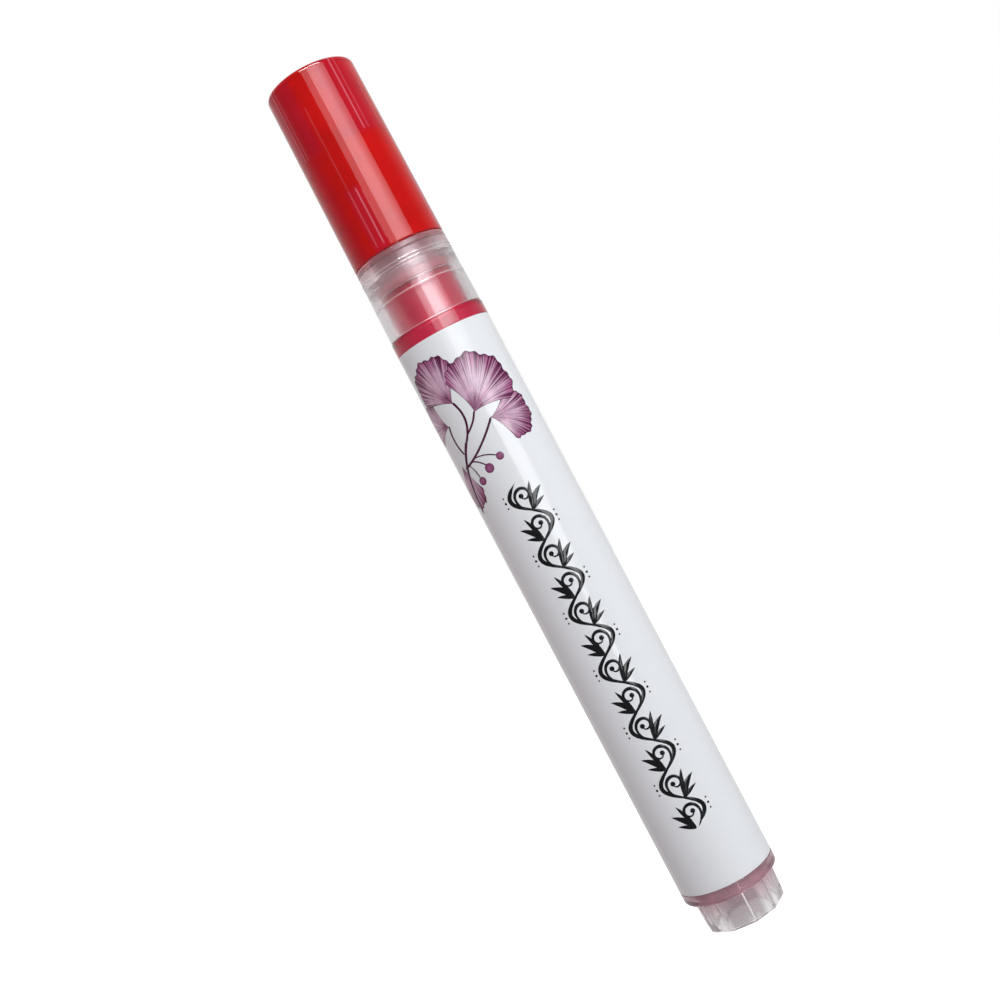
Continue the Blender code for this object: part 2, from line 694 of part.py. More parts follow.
def make_mixing_ball(body):
    shape = bmesh.new()
    bmesh.ops.create_icosphere(shape, subdivisions=3, radius=BALL_RADIUS)
    bmesh.ops.translate(shape, verts=shape.verts, vec=(0, 0, ball_centre))
    return add_object("mixing_ball", shape, steel, body, ball_centre)


for leftover in list(bpy.data.objects):
    bpy.data.objects.remove(leftover)

helper_finish = material("helper", (0.5, 0.5, 0.5), 0.5)
red = material("cap red", (0.62, 0.010, 0.012), 0.16)
clear = material("clear moulding", (0.86, 0.85, 0.84), 0.12, transmission=0.9)
frosted = material("frosted barrel", (0.88, 0.84, 0.84), 0.25, transmission=0.85)
natural = material("natural moulding", (0.90, 0.90, 0.88), 0.35)
white = material("white moulding", (0.92, 0.92, 0.92), 0.30)
soft_white = material("soft liner", (0.88, 0.88, 0.86), 0.50)
fibre = material("nib fibre", (0.80, 0.60, 0.58), 0.85)
label_white = material("label film", (0.93, 0.93, 0.95), 0.22)
ink_red = material("ink", (0.55, 0.012, 0.035), 0.30)
silicone = material("pale silicone", (0.62, 0.56, 0.55), 0.6)
steel = material("polished steel", (0.72, 0.72, 0.74), 0.12, metallic=1.0)

pen_body = axis_empty("pen_body", 0)
cap = axis_empty("cap", cap_mouth)
nib_and_valve = axis_empty("nib_and_valve", stem_top)
ball = axis_empty("ball", ball_centre)

make_barrel(pen_body)
make_label(pen_body)
make_end_plug(pen_body)
make_front_collar(pen_body)
make_valve_housing(pen_body)
make_ring("neck_gasket", neck_bore, neck_radius, gasket_foot, gasket_top, INNER_SIDES, silicone, pen_body)
make_ring(
    "seat_washer", washer_bore, washer_radius, washer_foot, housing_top, INNER_SIDES, silicone, pen_body
)
make_spring_retainer(pen_body)
make_valve_spring(pen_body)
make_nose_cone(pen_body)
make_ink(pen_body)
make_valve_plunger(nib_and_valve)
make_nib_sleeve(nib_and_valve)
make_nib(nib_and_valve)
make_cap_shell(cap)
make_cap_liner(cap)
make_mixing_ball(ball)
print(f"pen {cap_top / MM:.1f} mm long")
print(f"nib travel {NIB_TRAVEL / MM:.1f} mm, ball travel {ball_travel / MM:.1f} mm")
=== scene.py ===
import math

import bmesh
import bpy
import numpy as np
from mathutils import Matrix, Vector


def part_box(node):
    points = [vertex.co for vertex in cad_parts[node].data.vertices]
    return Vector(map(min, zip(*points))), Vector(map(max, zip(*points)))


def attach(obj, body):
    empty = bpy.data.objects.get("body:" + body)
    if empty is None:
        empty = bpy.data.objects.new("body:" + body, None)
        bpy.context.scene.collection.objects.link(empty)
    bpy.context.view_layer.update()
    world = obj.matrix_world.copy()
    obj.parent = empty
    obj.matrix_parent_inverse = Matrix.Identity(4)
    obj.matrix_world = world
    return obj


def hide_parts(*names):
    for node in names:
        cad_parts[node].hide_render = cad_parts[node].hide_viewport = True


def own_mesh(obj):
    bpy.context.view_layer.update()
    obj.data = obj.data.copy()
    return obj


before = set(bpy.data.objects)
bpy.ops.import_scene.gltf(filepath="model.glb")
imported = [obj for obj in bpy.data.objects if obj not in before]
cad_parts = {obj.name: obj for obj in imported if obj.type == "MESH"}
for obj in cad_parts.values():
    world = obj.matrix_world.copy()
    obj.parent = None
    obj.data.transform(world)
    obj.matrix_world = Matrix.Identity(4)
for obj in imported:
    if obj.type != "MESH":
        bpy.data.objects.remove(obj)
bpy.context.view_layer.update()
mm = 0.001  # the pieces are worked out in millimetres, and surface() turns them into metres
hair = 0.01  # lengths this close count as the same
seatGap = 0.2  # between the outer edges of pieces that are pushed together


def box(node):
    # A CAD node's foot, top and radius
    low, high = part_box(node)
    return low.z / mm, high.z / mm, high.x / mm


def fill(node, inputs):
    # Each input gets a plain value, or a link from another node's output
    for key, value in inputs.items():
        if isinstance(value, bpy.types.NodeSocket):
            node.id_data.links.new(value, node.inputs[key])
        else:
            node.inputs[key].default_value = value
    return node


def addNode(owner, kind, settings=None, inputs=None):
    # A shader node of a material or of the world
    node = owner.node_tree.nodes.new(kind)
    for key, value in (settings or {}).items():
        setattr(node, key, value)
    return fill(node, inputs or {})


def addMath(owner, operation, *values):
    return addNode(owner, "ShaderNodeMath", {"operation": operation}, dict(enumerate(values))).outputs[0]


def addRange(owner, value, before, after):
    # A value carried from the range before to the range after, and held at its ends
    ends = dict(zip(("From Min", "From Max", "To Min", "To Max"), (*before, *after)))
    return addNode(owner, "ShaderNodeMapRange", inputs={"Value": value, **ends}).outputs["Result"]


def addNoise(material, scale, detail, stretch=1, distortion=0):
    # A cloud in the pen's own coordinates, drawn out along its axis by a stretch under 1
    spot = addNode(material, "ShaderNodeTexCoord").outputs["Object"]
    along = addNode(material, "ShaderNodeMapping", inputs={"Vector": spot, "Scale": (1, 1, stretch)})
    return addNode(material, "ShaderNodeTexNoise", inputs={
        "Vector": along.outputs[0], "Scale": scale, "Detail": detail, "Distortion": distortion,
    }).outputs["Fac"]


def newFinish(name, inputs):
    material = bpy.data.materials.new(name)
    material.use_nodes = True
    return material, fill(material.node_tree.nodes["Principled BSDF"], inputs)


# The camera looks almost level at the pen's middle from a little to the left, and is rolled, so that the
# pen lies slantwise
photoView = {
    "distance": 180.3 * mm, "aside": -3.66 * mm, "height": 64.52 * mm, "aimHeight": 66.12 * mm,
    "rollDegrees": 27.8, "lens": 46.8, "sensor": 36, "clipStart": 5 * mm,
}


def setCamera(view):
    eye = Vector((view["aside"], -view["distance"], view["height"]))
    ahead = (Vector((view["aside"], 0, view["aimHeight"])) - eye).normalized()
    level = ahead.cross(Vector((0, 0, 1))).normalized()
    above = level.cross(ahead)
    roll = math.radians(view["rollDegrees"])
    right = level * math.cos(roll) - above * math.sin(roll)
    up = level * math.sin(roll) + above * math.cos(roll)
    camera = bpy.data.objects.new("photoCamera", bpy.data.cameras.new("photoCamera"))
    camera.data.lens = view["lens"]
    camera.data.sensor_width = view["sensor"]
    camera.data.clip_start = view["clipStart"]
    camera.matrix_world = Matrix.Translation(eye) @ Matrix((right, up, -ahead)).transposed().to_4x4()
    bpy.context.scene.collection.objects.link(camera)
    bpy.context.scene.camera = camera


setCamera(photoView)
print("camera set")

# Studio: a white ground, a room that is dim in front and pale behind, and a tall softbox right of the
# camera. The softbox is five strips side by side, so that its light falls off towards its edges. Each
# light has the azimuths and heights that it spans, its radiance and, where it has its own, its tint.
studio = {
    "front": 0.07, "behind": 0.86, "depths": (-0.05, 1.0), "floorSize": 1.6, "floorGlow": 1.05,
    "distance": 0.62, "tint": (0.96, 0.97, 1.0),
    "strips": {
        "softboxLeft": ((-9, 7.2), (0.13, 0.55), 2.0),
        "softboxNear": ((7.2, 17), (-0.07, 0.55), 5.8),
        "softboxMiddle": ((17, 33), (0.02, 0.55), 6.0),
        "softboxFar": ((33, 41), (0.06, 0.55), 4.3),
        "softboxRight": ((41, 50), (0.13, 0.55), 2.6),
    },
    "fills": {
        "leftFill": ((-125, -65), (-0.1, 0.6), 1.04, (1.0, 0.84, 0.87)),
        "rightFill": ((55, 110), (-0.2, 0.5), 0.63),
    },
    "glints": {"lowStrip": ((7.5, 10), (-0.35, -0.03), 2.5), "highStrip": ((-14, 50), (0.72, 1.12), 24.0)},
}


def addPanel(name, azimuths, heights, radiance, tint=studio["tint"], glossy=True, diffuse=True):
    # A flat light between two azimuths, 0 towards the camera and positive to its right, facing the pen.
    # Glints are only mirrored, and neither light the pen nor show through it.
    start, end = (math.radians(a) for a in azimuths)
    middle, distance = (start + end) / 2, studio["distance"]
    width, height = 2 * distance * math.tan((end - start) / 2), heights[1] - heights[0]
    light = bpy.data.lights.new(name, "AREA")
    light.shape = "RECTANGLE"
    light.size, light.size_y = width, height
    light.energy = radiance * math.pi * width * height
    light.color = tint
    panel = bpy.data.objects.new(name, light)
    panel.location = (distance * math.sin(middle), -distance * math.cos(middle), sum(heights) / 2)
    panel.rotation_euler = (math.pi / 2, 0, middle)
    panel.visible_camera = False
    panel.visible_glossy = glossy
    panel.visible_diffuse = panel.visible_transmission = diffuse
    bpy.context.scene.collection.objects.link(panel)


def addWorld(values):
    # Seen straight on the room is white; for light and reflections it brightens evenly from front to back
    world = bpy.data.worlds.new("studioRoom")
    world.use_nodes = True
    bpy.context.scene.world = world
    direction = addNode(world, "ShaderNodeTexCoord").outputs["Generated"]
    depth = addNode(world, "ShaderNodeSeparateXYZ", inputs={0: direction}).outputs["Y"]
    room = addRange(world, depth, values["depths"], (values["front"], values["behind"]))
    straight = addNode(world, "ShaderNodeLightPath").outputs["Is Camera Ray"]
    seen = addNode(world, "ShaderNodeMix", inputs={"Factor": straight, "A": room, "B": 1}).outputs["Result"]
    fill(world.node_tree.nodes["Background"], {"Color": (1, 1, 1, 1), "Strength": seen})


def addFloor(values):
    # Plain white paper, which shows white and sends no light back at the pen
    half = values["floorSize"] / 2
    mesh = bpy.data.meshes.new("floor")
    corners = [(-half, -half, 0), (half, -half, 0), (half, half, 0), (-half, half, 0)]
    mesh.from_pydata(corners, [], [(0, 1, 2, 3)])
    floor = bpy.data.objects.new("floor", mesh)
    mesh.materials.append(newFinish("whitePaper", {
        "Base Color": (0.5, 0.5, 0.5, 1), "Roughness": 0.9, "Specular IOR Level": 0,
        "Emission Color": (1, 1, 1, 1), "Emission Strength": values["floorGlow"],
    })[0])
    bpy.context.scene.collection.objects.link(floor)
    floor.visible_diffuse = floor.visible_glossy = floor.visible_transmission = floor.visible_shadow = False


addWorld(studio)
addFloor(studio)
for group, ways in (("strips", {}), ("fills", {"glossy": False}), ("glints", {"diffuse": False})):
    for panelName, values in studio[group].items():
        addPanel(panelName, *values, **ways)
bpy.context.scene.view_settings.view_transform = "Standard"
print("studio lit")


def gridFaces(rows, columns, wrapRows, wrapColumns):
    row = np.arange(rows if wrapRows else rows - 1)[:, None]
    column = np.arange(columns if wrapColumns else columns - 1)[None, :]
    nextRow, nextColumn = (row + 1) % rows, (column + 1) % columns
    around = [row * columns + column, row * columns + nextColumn]
    around += [nextRow * columns + nextColumn, nextRow * columns + column]
    return np.stack(np.broadcast_arrays(*around), axis=-1).reshape(-1, 4)


def closeFaces(mesh, fillHoles=False, within=1e-4 * mm):
    # Points that meet are merged, holes are filled if that is asked for, and all faces are turned outwards
    shape = bmesh.new()
    shape.from_mesh(mesh)
    bmesh.ops.remove_doubles(shape, verts=shape.verts, dist=within)
    if fillHoles:
        bmesh.ops.holes_fill(shape, edges=[edge for edge in shape.edges if edge.is_boundary], sides=0)
    bmesh.ops.recalc_face_normals(shape, faces=shape.faces)
    shape.to_mesh(mesh)
    shape.free()


def surface(name, grids, wrapColumns=True, wrapRows=False, sharpDegrees=38, paint=None):
    # Each grid[row, column] lies on the surface, and each four neighbours make a face. Rows, columns or
    # grids that meet, or shrink to one point, are merged there, so that seams and poles are closed.
    # paint holds a colour for each point, row or grid, kept as a point attribute that the finishes read.
    # A fourth value, if there is one, is how clear the plastic is there.
    grids = grids if isinstance(grids, list) else [grids]
    faces, start = [], 0
    for grid in grids:
        faces.append(gridFaces(*grid.shape[:2], wrapRows, wrapColumns) + start)
        start += grid.shape[0] * grid.shape[1]
    points = np.concatenate([grid.reshape(-1, 3) for grid in grids])
    mesh = bpy.data.meshes.new(name)
    mesh.from_pydata((points * mm).tolist(), [], np.concatenate(faces).tolist())
    if paint is not None:
        colours = []
        for grid, colour in zip(grids, paint if isinstance(paint, list) else [paint]):
            spread = np.ones((*grid.shape[:2], 4))
            spread[..., : np.shape(colour)[-1]] = colour
            colours.append(spread.reshape(-1))
        attribute = mesh.attributes.new("paint", "FLOAT_COLOR", "POINT")
        attribute.data.foreach_set("color", np.concatenate(colours))
    closeFaces(mesh)
    mesh.shade_smooth()
    mesh.set_sharp_from_angle(angle=math.radians(sharpDegrees))
    piece = bpy.data.objects.new(name, mesh)
    bpy.context.scene.collection.objects.link(piece)
    return piece


def smoothStep(value, low, high):
    share = np.clip((value - low) / (high - low), 0, 1)
    return share * share * (3 - 2 * share)


def between(value, low, high, rise, fall):
    # 1 between low and high, eased over a rise above the one and a fall below the other, and 0 outside
    return smoothStep(value, low, low + rise) * (1 - smoothStep(value, high - fall, high))


def blended(share, low, high):
    # Colours that go from low to high as the share goes from 0 to 1
    share = np.clip(share, 0, 1)[..., None]
    return np.array(low) * (1 - share) + np.array(high) * share


def rounded(corners, steps=5, hold=0.03):
    # An outline of (radius, height, fillet) corners. Each fillet is the arc that touches both sides
    # of its corner, with a point held close on either side to keep the straight stretches flat. It takes
    # less than half of a side, so that the fillets at a side's two ends never meet.
    outline = []
    spots = [np.array(corner[:2], float) for corner in corners]
    for k, corner in enumerate(corners):
        fillet = corner[2] if len(corner) > 2 else 0
        if fillet == 0 or k in (0, len(corners) - 1):
            outline.append(spots[k])
            continue
        before, after = spots[k - 1] - spots[k], spots[k + 1] - spots[k]
        lengths = np.linalg.norm(before), np.linalg.norm(after)
        before, after = before / lengths[0], after / lengths[1]
        half = math.acos(np.clip(before @ after, -1, 1)) / 2
        reach = min(fillet / math.tan(half), 0.45 * min(lengths))
        fillet = reach * math.tan(half)
        centre = spots[k] + (before + after) / np.linalg.norm(before + after) * fillet / math.sin(half)
        first, last = spots[k] + before * reach - centre, spots[k] + after * reach - centre
        sweep = math.pi - 2 * half
        share = np.linspace(0, 1, steps + 1)[:, None]
        arc = (np.sin((1 - share) * sweep) * first + np.sin(share * sweep) * last) / math.sin(sweep)
        holdBefore, holdAfter = (min(hold, (length - reach) * 0.3) for length in lengths)
        outline.append(spots[k] + before * (reach + holdBefore))
        outline.extend(centre + arc)
        outline.append(spots[k] + after * (reach + holdAfter))
    return np.array(outline)


def splitLongest(outline, steps):
    # Cuts the outline's longest stretch into even steps, so that paint and shading along it stay fine
    k = int(np.argmax(np.linalg.norm(np.diff(outline, axis=0), axis=1)))
    between = outline[k] + (outline[k + 1] - outline[k]) * np.linspace(0, 1, steps + 1)[1:-1, None]
    return np.concatenate([outline[: k + 1], between, outline[k + 1 :]])


def polar(radius, turn, height):
    # Points round the pen's axis: (r sin a, -r cos a, z), with a from the front
    return np.stack([radius * np.sin(turn), -radius * np.cos(turn), height + 0 * turn], axis=-1)


def turned(outline, columns):
    # The outline carried once round the pen's axis
    turn = np.linspace(0, math.tau, columns, endpoint=False)
    return polar(outline[:, 0:1], turn, outline[:, 1:2])


def bead(wall, height, width, rise, way, rounding=(0.1, 0.2)):
    # The corners of a bead or a groove, which rises outwards from a wall or, with a rise below 0, inwards.
    # The outline follows the wall upwards (1) or downwards (-1).
    half, (edge, crest) = way * width / 2, rounding
    return [(wall, height - half, edge), (wall + rise, height, crest), (wall, height + half, edge)]


glossyWear = {
    "cloudScale": 160, "roughness": (0.04, 0.09), "grainScale": 900, "bump": 0.10, "bumpDepth": 0.02,
    "scratchScale": 1500, "scratchStretch": 0.04, "scratchDepth": 0.5,
}
clearWear = {**glossyWear, "bump": 0.15}
softWear = {**glossyWear, "bump": 0.2}
filmWear = {**glossyWear, "roughness": (0.06, 0.10), "bump": 0.2, "grainScale": 260}
commonShare = (0.3, 0.7)  # most of a noise lies between these
scratchShare = (0.62, 0.72)  # and only its crests above these


def addWear(material, shader, values):
    # Roughness wanders slowly between two values, and a fine grain with long faint scratches dents the
    # surface
    cloud = addNoise(material, values["cloudScale"], 4)
    grain = addNoise(material, values["grainScale"], 3)
    crests = addNoise(material, values["scratchScale"], 2, values["scratchStretch"])
    scratches = addRange(material, crests, scratchShare, (0, 1))
    height = addMath(material, "MULTIPLY_ADD", scratches, -values["scratchDepth"], grain)
    bump = addNode(material, "ShaderNodeBump", inputs={
        "Height": height, "Strength": values["bump"], "Distance": values["bumpDepth"] * mm,
    })
    rough = addRange(material, cloud, commonShare, values["roughness"])
    fill(shader, {"Roughness": rough, "Normal": bump.outputs["Normal"]})


def readPaint(material, shader, low=0.93, high=1.07, scale=220):
    # The piece's own painted colour, made a little uneven by a soft cloud
    paint = addNode(material, "ShaderNodeAttribute", {"attribute_name": "paint"})
    uneven = addRange(material, addNoise(material, scale, 3), commonShare, (low, high))
    shade = addNode(material, "ShaderNodeVectorMath", {"operation": "SCALE"}, {
        "Vector": paint.outputs["Color"], "Scale": uneven,
    })
    fill(shader, {"Base Color": shade.outputs["Vector"]})
    return paint


def makeCapRed():
    material, shader = newFinish("capRed", {"IOR": 1.47, "Transmission Weight": 0.35})
    readPaint(material, shader)
    addWear(material, shader, glossyWear)
    return material


def makeClear(name, roughness, weight, wear=None, mattInside=False):
    # Clear plastic, whose paint says how it is tinted and, in its fourth value, how clear it is. Where its
    # inside is matt, the piece's own matt value is added to the roughness.
    material, shader = newFinish(name, {"IOR": 1.49})
    paint = readPaint(material, shader, low=0.97, high=1.03)
    fill(shader, {"Transmission Weight": addMath(material, "MULTIPLY", paint.outputs["Alpha"], weight)})
    addWear(material, shader, {**clearWear, "roughness": roughness, **(wear or {})})
    if mattInside:
        matt = addNode(material, "ShaderNodeAttribute", {"attribute_name": "matt"})
        glossy = shader.inputs["Roughness"].links[0].from_socket
        fill(shader, {"Roughness": addMath(material, "ADD", matt.outputs["Fac"], glossy)})
    return material


def makeMoulded(name, colour, roughness=(0.3, 0.45), subsurface=0.0):
    material, shader = newFinish(name, {
        "Base Color": (*colour, 1), "IOR": 1.49,
        "Subsurface Weight": subsurface, "Subsurface Scale": 1 * mm,
    })
    addWear(material, shader, {**softWear, "roughness": roughness})
    return material


def makeMetal(name, colour, roughness):
    material, shader = newFinish(name, {"Base Color": (*colour, 1), "Metallic": 1.0})
    addWear(material, shader, {**glossyWear, "roughness": roughness})
    return material


inkLook = {
    "dense": (0.32, 0.0055, 0.027, 1), "thin": (0.47, 0.0115, 0.048, 1),
    "swirl": {"scale": 260, "detail": 5, "stretch": 0.35, "distortion": 1.5},
}


def makeInk(values):
    # Red ink, settled into slow swirls of denser and thinner pigment
    material, shader = newFinish("redInk", {
        "IOR": 1.40, "Roughness": 0.35, "Subsurface Weight": 0.15, "Subsurface Scale": 1 * mm,
    })
    swirl = addNoise(material, **values["swirl"])
    shade = addNode(material, "ShaderNodeMix", {"data_type": "RGBA"}, {
        "Factor": swirl, "A": values["dense"], "B": values["thin"],
    })
    fill(shader, {"Base Color": shade.outputs["Result"]})
    return material


def makeFilm(name, ior, colour=None):
    # The label's film, or printing ink under its gloss: one colour, or the colours painted on the piece
    material, shader = newFinish(name, {"IOR": ior})
    if colour:
        fill(shader, {"Base Color": (*colour, 1)})
    else:
        readPaint(material, shader, low=0.88, high=1.12, scale=900)
    addWear(material, shader, filmWear)
    return material


capRed = makeCapRed()
collarGrain = {"grainScale": 330, "bump": 0.25, "bumpDepth": 0.03}
collarClear = makeClear("collarClear", (0.07, 0.12), 1.0, collarGrain, mattInside=True)
barrelClear = makeClear("barrelClear", (0.06, 0.12), 1.0)
plugClear = makeClear("plugClear", (0.10, 0.20), 0.92)
naturalPlastic = makeMoulded("naturalPlastic", (0.20, 0.09, 0.10), subsurface=0.2)
whitePlastic = makeMoulded("whitePlastic", (0.86, 0.85, 0.84))
softLiner = makeMoulded("softLiner", (0.82, 0.80, 0.79), (0.45, 0.6), subsurface=0.4)
stainedSilicone = makeMoulded("stainedSilicone", (0.26, 0.065, 0.08), (0.5, 0.7))
nibFibre = makeMoulded("nibFibre", (0.70, 0.22, 0.24), (0.8, 0.95))
labelFilm = makeFilm("labelFilm", 1.39, (0.85, 0.865, 0.88))
blackPrint = makeFilm("blackPrint", 1.45, (0.012, 0.012, 0.014))
leafPrint = makeFilm("leafPrint", 1.45)
redInk = makeInk(inkLook)
springWire = makeMetal("springWire", (0.62, 0.60, 0.58), (0.18, 0.3))
ballSteel = makeMetal("ballSteel", (0.70, 0.70, 0.72), (0.05, 0.12))
print("finishes made")


def place(piece, body, finish, slot, *nodes):
    piece.data.materials.append(finish)
    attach(piece, body)
    if nodes:
        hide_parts(*nodes)
    return piece


capFoot, capTop, capRadius = box("cap_shell")
capShell = {
    "draft": 0.23, "wall": 0.75, "roof": 1.0, "fillet": 0.7, "mouthRound": 0.15,
    "gateRadius": 0.6, "gateDepth": 0.1, "snapHeight": 0.9, "snapWidth": 0.8,
    "snapDepth": 0.15, "socketBore": 3.66, "socketWall": 0.7, "socketLength": 10.5,
    "ribs": 4, "firstRibDegrees": -16, "ribWidth": 1.1, "ribDepth": 0.3, "ribFoot": 0.6, "ribLength": 8.5,
    "ribEase": 0.08, "ribEnds": (0.3, 0.1),  # flanks, and foot and top, rise over these
    "webs": 4, "firstWebDegrees": 36, "webWidth": 0.8, "webSetback": 0.4,
    "webSink": (0.2, 0.02),  # into the socket and the roof, and into the wall
    "red": (0.80, 0.011, 0.010), "crimson": (0.74, 0.015, 0.034),
    "webShade": (22, 34), "ribShade": (6, 13),  # where the crimson starts and stops to fade, in degrees
    "webFade": (-0.4, 0.6), "ribFade": (-0.2, 0.5),  # and up the cap, from a web's foot and a rib's top
    # The crimson on the left limb is painted shade, and where webs back the wall it is partly painted
    # reflection
    "limb": (-85, 37, 55, 0.7),  # crimson on the left: its middle, the same two, and its strength
    # The colour and width of the painted highlight lines, and below their strengths on each edge of a rib
    # and a web
    "line": (1.0, 0.27, 0.33), "lineWidthDegrees": 0.8, "lineFade": 0.3,
    "ribEdgeGlints": (0.5, 1.0), "webEdgeGlints": (1.0, 0.45), "paintSteps": 90, "columns": 480,
    # Each faint painted highlight line has its angle in degrees, its strength, and its foot and top above
    # the mouth
    "faintGlintLines": ((-20.6, 0.25, 9, 22), (-5.4, 0.3, 1, 8.5), (62, 0.5, 16, 23), (-63, 0.35, 14, 25)),
}


def angleFrom(turn, count, firstDegrees):
    # The angle to the nearest of some ribs that stand evenly round the axis
    step = math.tau / count
    return (turn - math.radians(firstDegrees) + step / 2) % step - step / 2


def capPaint(values, turn, height):
    # The wall is crimson where a web or a rib backs it, partly the deeper colour of thicker plastic and
    # partly painted reflection, with painted crimson shade along the left limb. A painted highlight line
    # runs up each edge of a rib or web, one edge brighter than the other, and a few fainter painted
    # highlight lines stand at fixed angles.
    socketFoot = capTop - values["roof"] - values["socketLength"]
    ribFoot, webFoot = capFoot + values["ribFoot"], socketFoot + values["webSetback"]
    ribTop = ribFoot + values["ribLength"]
    fromRib = angleFrom(turn, values["ribs"], values["firstRibDegrees"])
    fromWeb = angleFrom(turn, values["webs"], values["firstWebDegrees"])
    limb, *limbShade, limbStrength = values["limb"]
    webFade = [socketFoot + above for above in values["webFade"]]
    ribFade = [ribTop + above for above in values["ribFade"]]
    fade = values["lineFade"]

    def close(off, near, far):
        return 1 - smoothStep(np.degrees(np.abs(off)), near, far)

    def oneLine(off, strength, low, high):
        line = strength * np.exp(-((off / math.radians(values["lineWidthDegrees"])) ** 2))
        return line * between(height, low, high, fade, fade)

    byWeb = smoothStep(height, *webFade) * close(fromWeb, *values["webShade"])
    byRib = (1 - smoothStep(height, *ribFade)) * close(fromRib, *values["ribShade"])
    byLimb = limbStrength * close(angleFrom(turn, 1, limb), *limbShade)
    colour = blended(np.maximum(np.maximum(byWeb, byRib), byLimb), values["red"], values["crimson"])
    # Painted highlight lines up the edges of ribs and webs, and fainter ones at fixed angles
    line = 0
    for side in (0, 1):
        rib, web = ((side - 0.5) * values[width] / capRadius for width in ("ribWidth", "webWidth"))
        line += oneLine(fromRib - rib, values["ribEdgeGlints"][side], ribFoot, ribTop)
        line += oneLine(fromWeb - web, values["webEdgeGlints"][side], webFoot, capTop)
    for degrees, strength, low, high in values["faintGlintLines"]:
        line += oneLine(angleFrom(turn, 1, degrees), strength, capFoot + low, capFoot + high)
    return blended(line, colour, values["line"])


def makeCapShell(values):
    # One outline from the crown down the outside, round the mouth and up the inside to the socket.
    # Inside, the radius drops to a rib's face wherever the angle lies within the rib's width.
    # Each web is a flat-sided box from the socket's wall to the cap's, closed at both ends.
    foot, top, mouth, draft = capFoot, capTop, capRadius, values["draft"]
    bore, ceiling = mouth - values["wall"], top - values["roof"]
    socketBore, socketFoot = values["socketBore"], ceiling - values["socketLength"]
    socket = socketBore + values["socketWall"]
    gate, gateFloor = values["gateRadius"], top - values["gateDepth"]
    ribFoot, ribHalf = foot + values["ribFoot"], values["ribWidth"] / 2
    ribTop, mouthRound = ribFoot + values["ribLength"], values["mouthRound"]
    ribEase, ribEnds = values["ribEase"], values["ribEnds"]
    outline = splitLongest(rounded([
        (0, gateFloor), (gate, gateFloor, 0.05), (gate + 0.1, top, 0.05),
        (mouth - draft, top, values["fillet"]), (mouth, foot, mouthRound), (bore, foot, mouthRound),
        *bead(bore, foot + values["snapHeight"], values["snapWidth"], -values["snapDepth"], 1),
        (bore, ribTop - ribEnds[1]), (bore, ribTop), (bore - draft, ceiling, 0.3), (socket, ceiling, 0.2),
        (socket, socketFoot, 0.1), (socketBore, socketFoot, 0.1), (socketBore, ceiling, 0.2),
        (0, ceiling),
    ]), values["paintSteps"])
    points = turned(outline, values["columns"])
    turn = np.linspace(0, math.tau, values["columns"], endpoint=False)[None, :]
    off = np.abs(angleFrom(turn, values["ribs"], values["firstRibDegrees"])) * bore
    onRib = 1 - smoothStep(off, ribHalf - ribEase, ribHalf + ribEase)
    radius, height = outline[:, 0:1], outline[:, 1:2]
    rise = between(height, ribFoot, ribTop, *ribEnds)
    inside = (radius > socket + hair) & (radius < bore + hair)
    depth = values["ribDepth"] * onRib * np.where(inside, rise, 0)
    shrink = np.maximum(depth - np.maximum(bore - radius, 0), 0)
    points[:, :, :2] *= (1 - shrink / np.maximum(radius, 1e-6))[:, :, None]
    grids, paint = [points], [capPaint(values, turn, height + 0 * turn)]
    sink, wallSink = values["webSink"]
    low, high = socketFoot + values["webSetback"], ceiling + sink
    near, far, half = socket - sink, bore - draft + wallSink, values["webWidth"] / 2
    section = np.array([(near, -half), (far, -half), (far, half), (near, half)])
    for k in range(values["webs"]):
        angle = math.radians(values["firstWebDegrees"]) + math.tau * k / values["webs"]
        outward, sideways = (math.sin(angle), -math.cos(angle)), (math.cos(angle), math.sin(angle))
        flat = section @ np.array([outward, sideways])
        middle = np.zeros((4, 2)) + flat.mean(axis=0)
        heights = np.array([low, low, high, high])[:, None, None] + np.zeros((4, 4, 1))
        grids.append(np.concatenate([np.stack([middle, flat, flat, middle]), heights], axis=-1))
        paint.append(values["crimson"])
    return surface("capShell", grids, paint=paint)


place(makeCapShell(capShell), "cap", capRed, "cap_plastic", "cap_shell")

capLiner = {"wall": 0.6, "lip": 2.0, "flare": 0.5, "tipBore": 2.6, "tipHeight": 3.2}


def makeCapLiner(values):
    # A cup turned round the axis: down its outside to a flared lip, and up its bore to a narrower tip
    foot, top, lip = box("cap_liner")
    outer = lip - values["flare"]
    bore = outer - values["wall"]
    outline = rounded([
        (0, top), (outer, top, 0.25), (outer, foot + values["lip"], 0.1),
        (lip, foot + values["lip"], 0.2), (lip, foot, 0.2), (bore + values["flare"], foot, 0.15),
        (bore, foot + values["lip"] / 2, 0.3), (values["tipBore"], foot + values["tipHeight"], 0.3),
        (values["tipBore"], top - values["wall"], 0.3), (0, top - values["wall"]),
    ])
    return surface("capLiner", turned(outline, 96))


place(makeCapLiner(capLiner), "cap", softLiner, "soft_plastic", "cap_liner")
print("cap made")

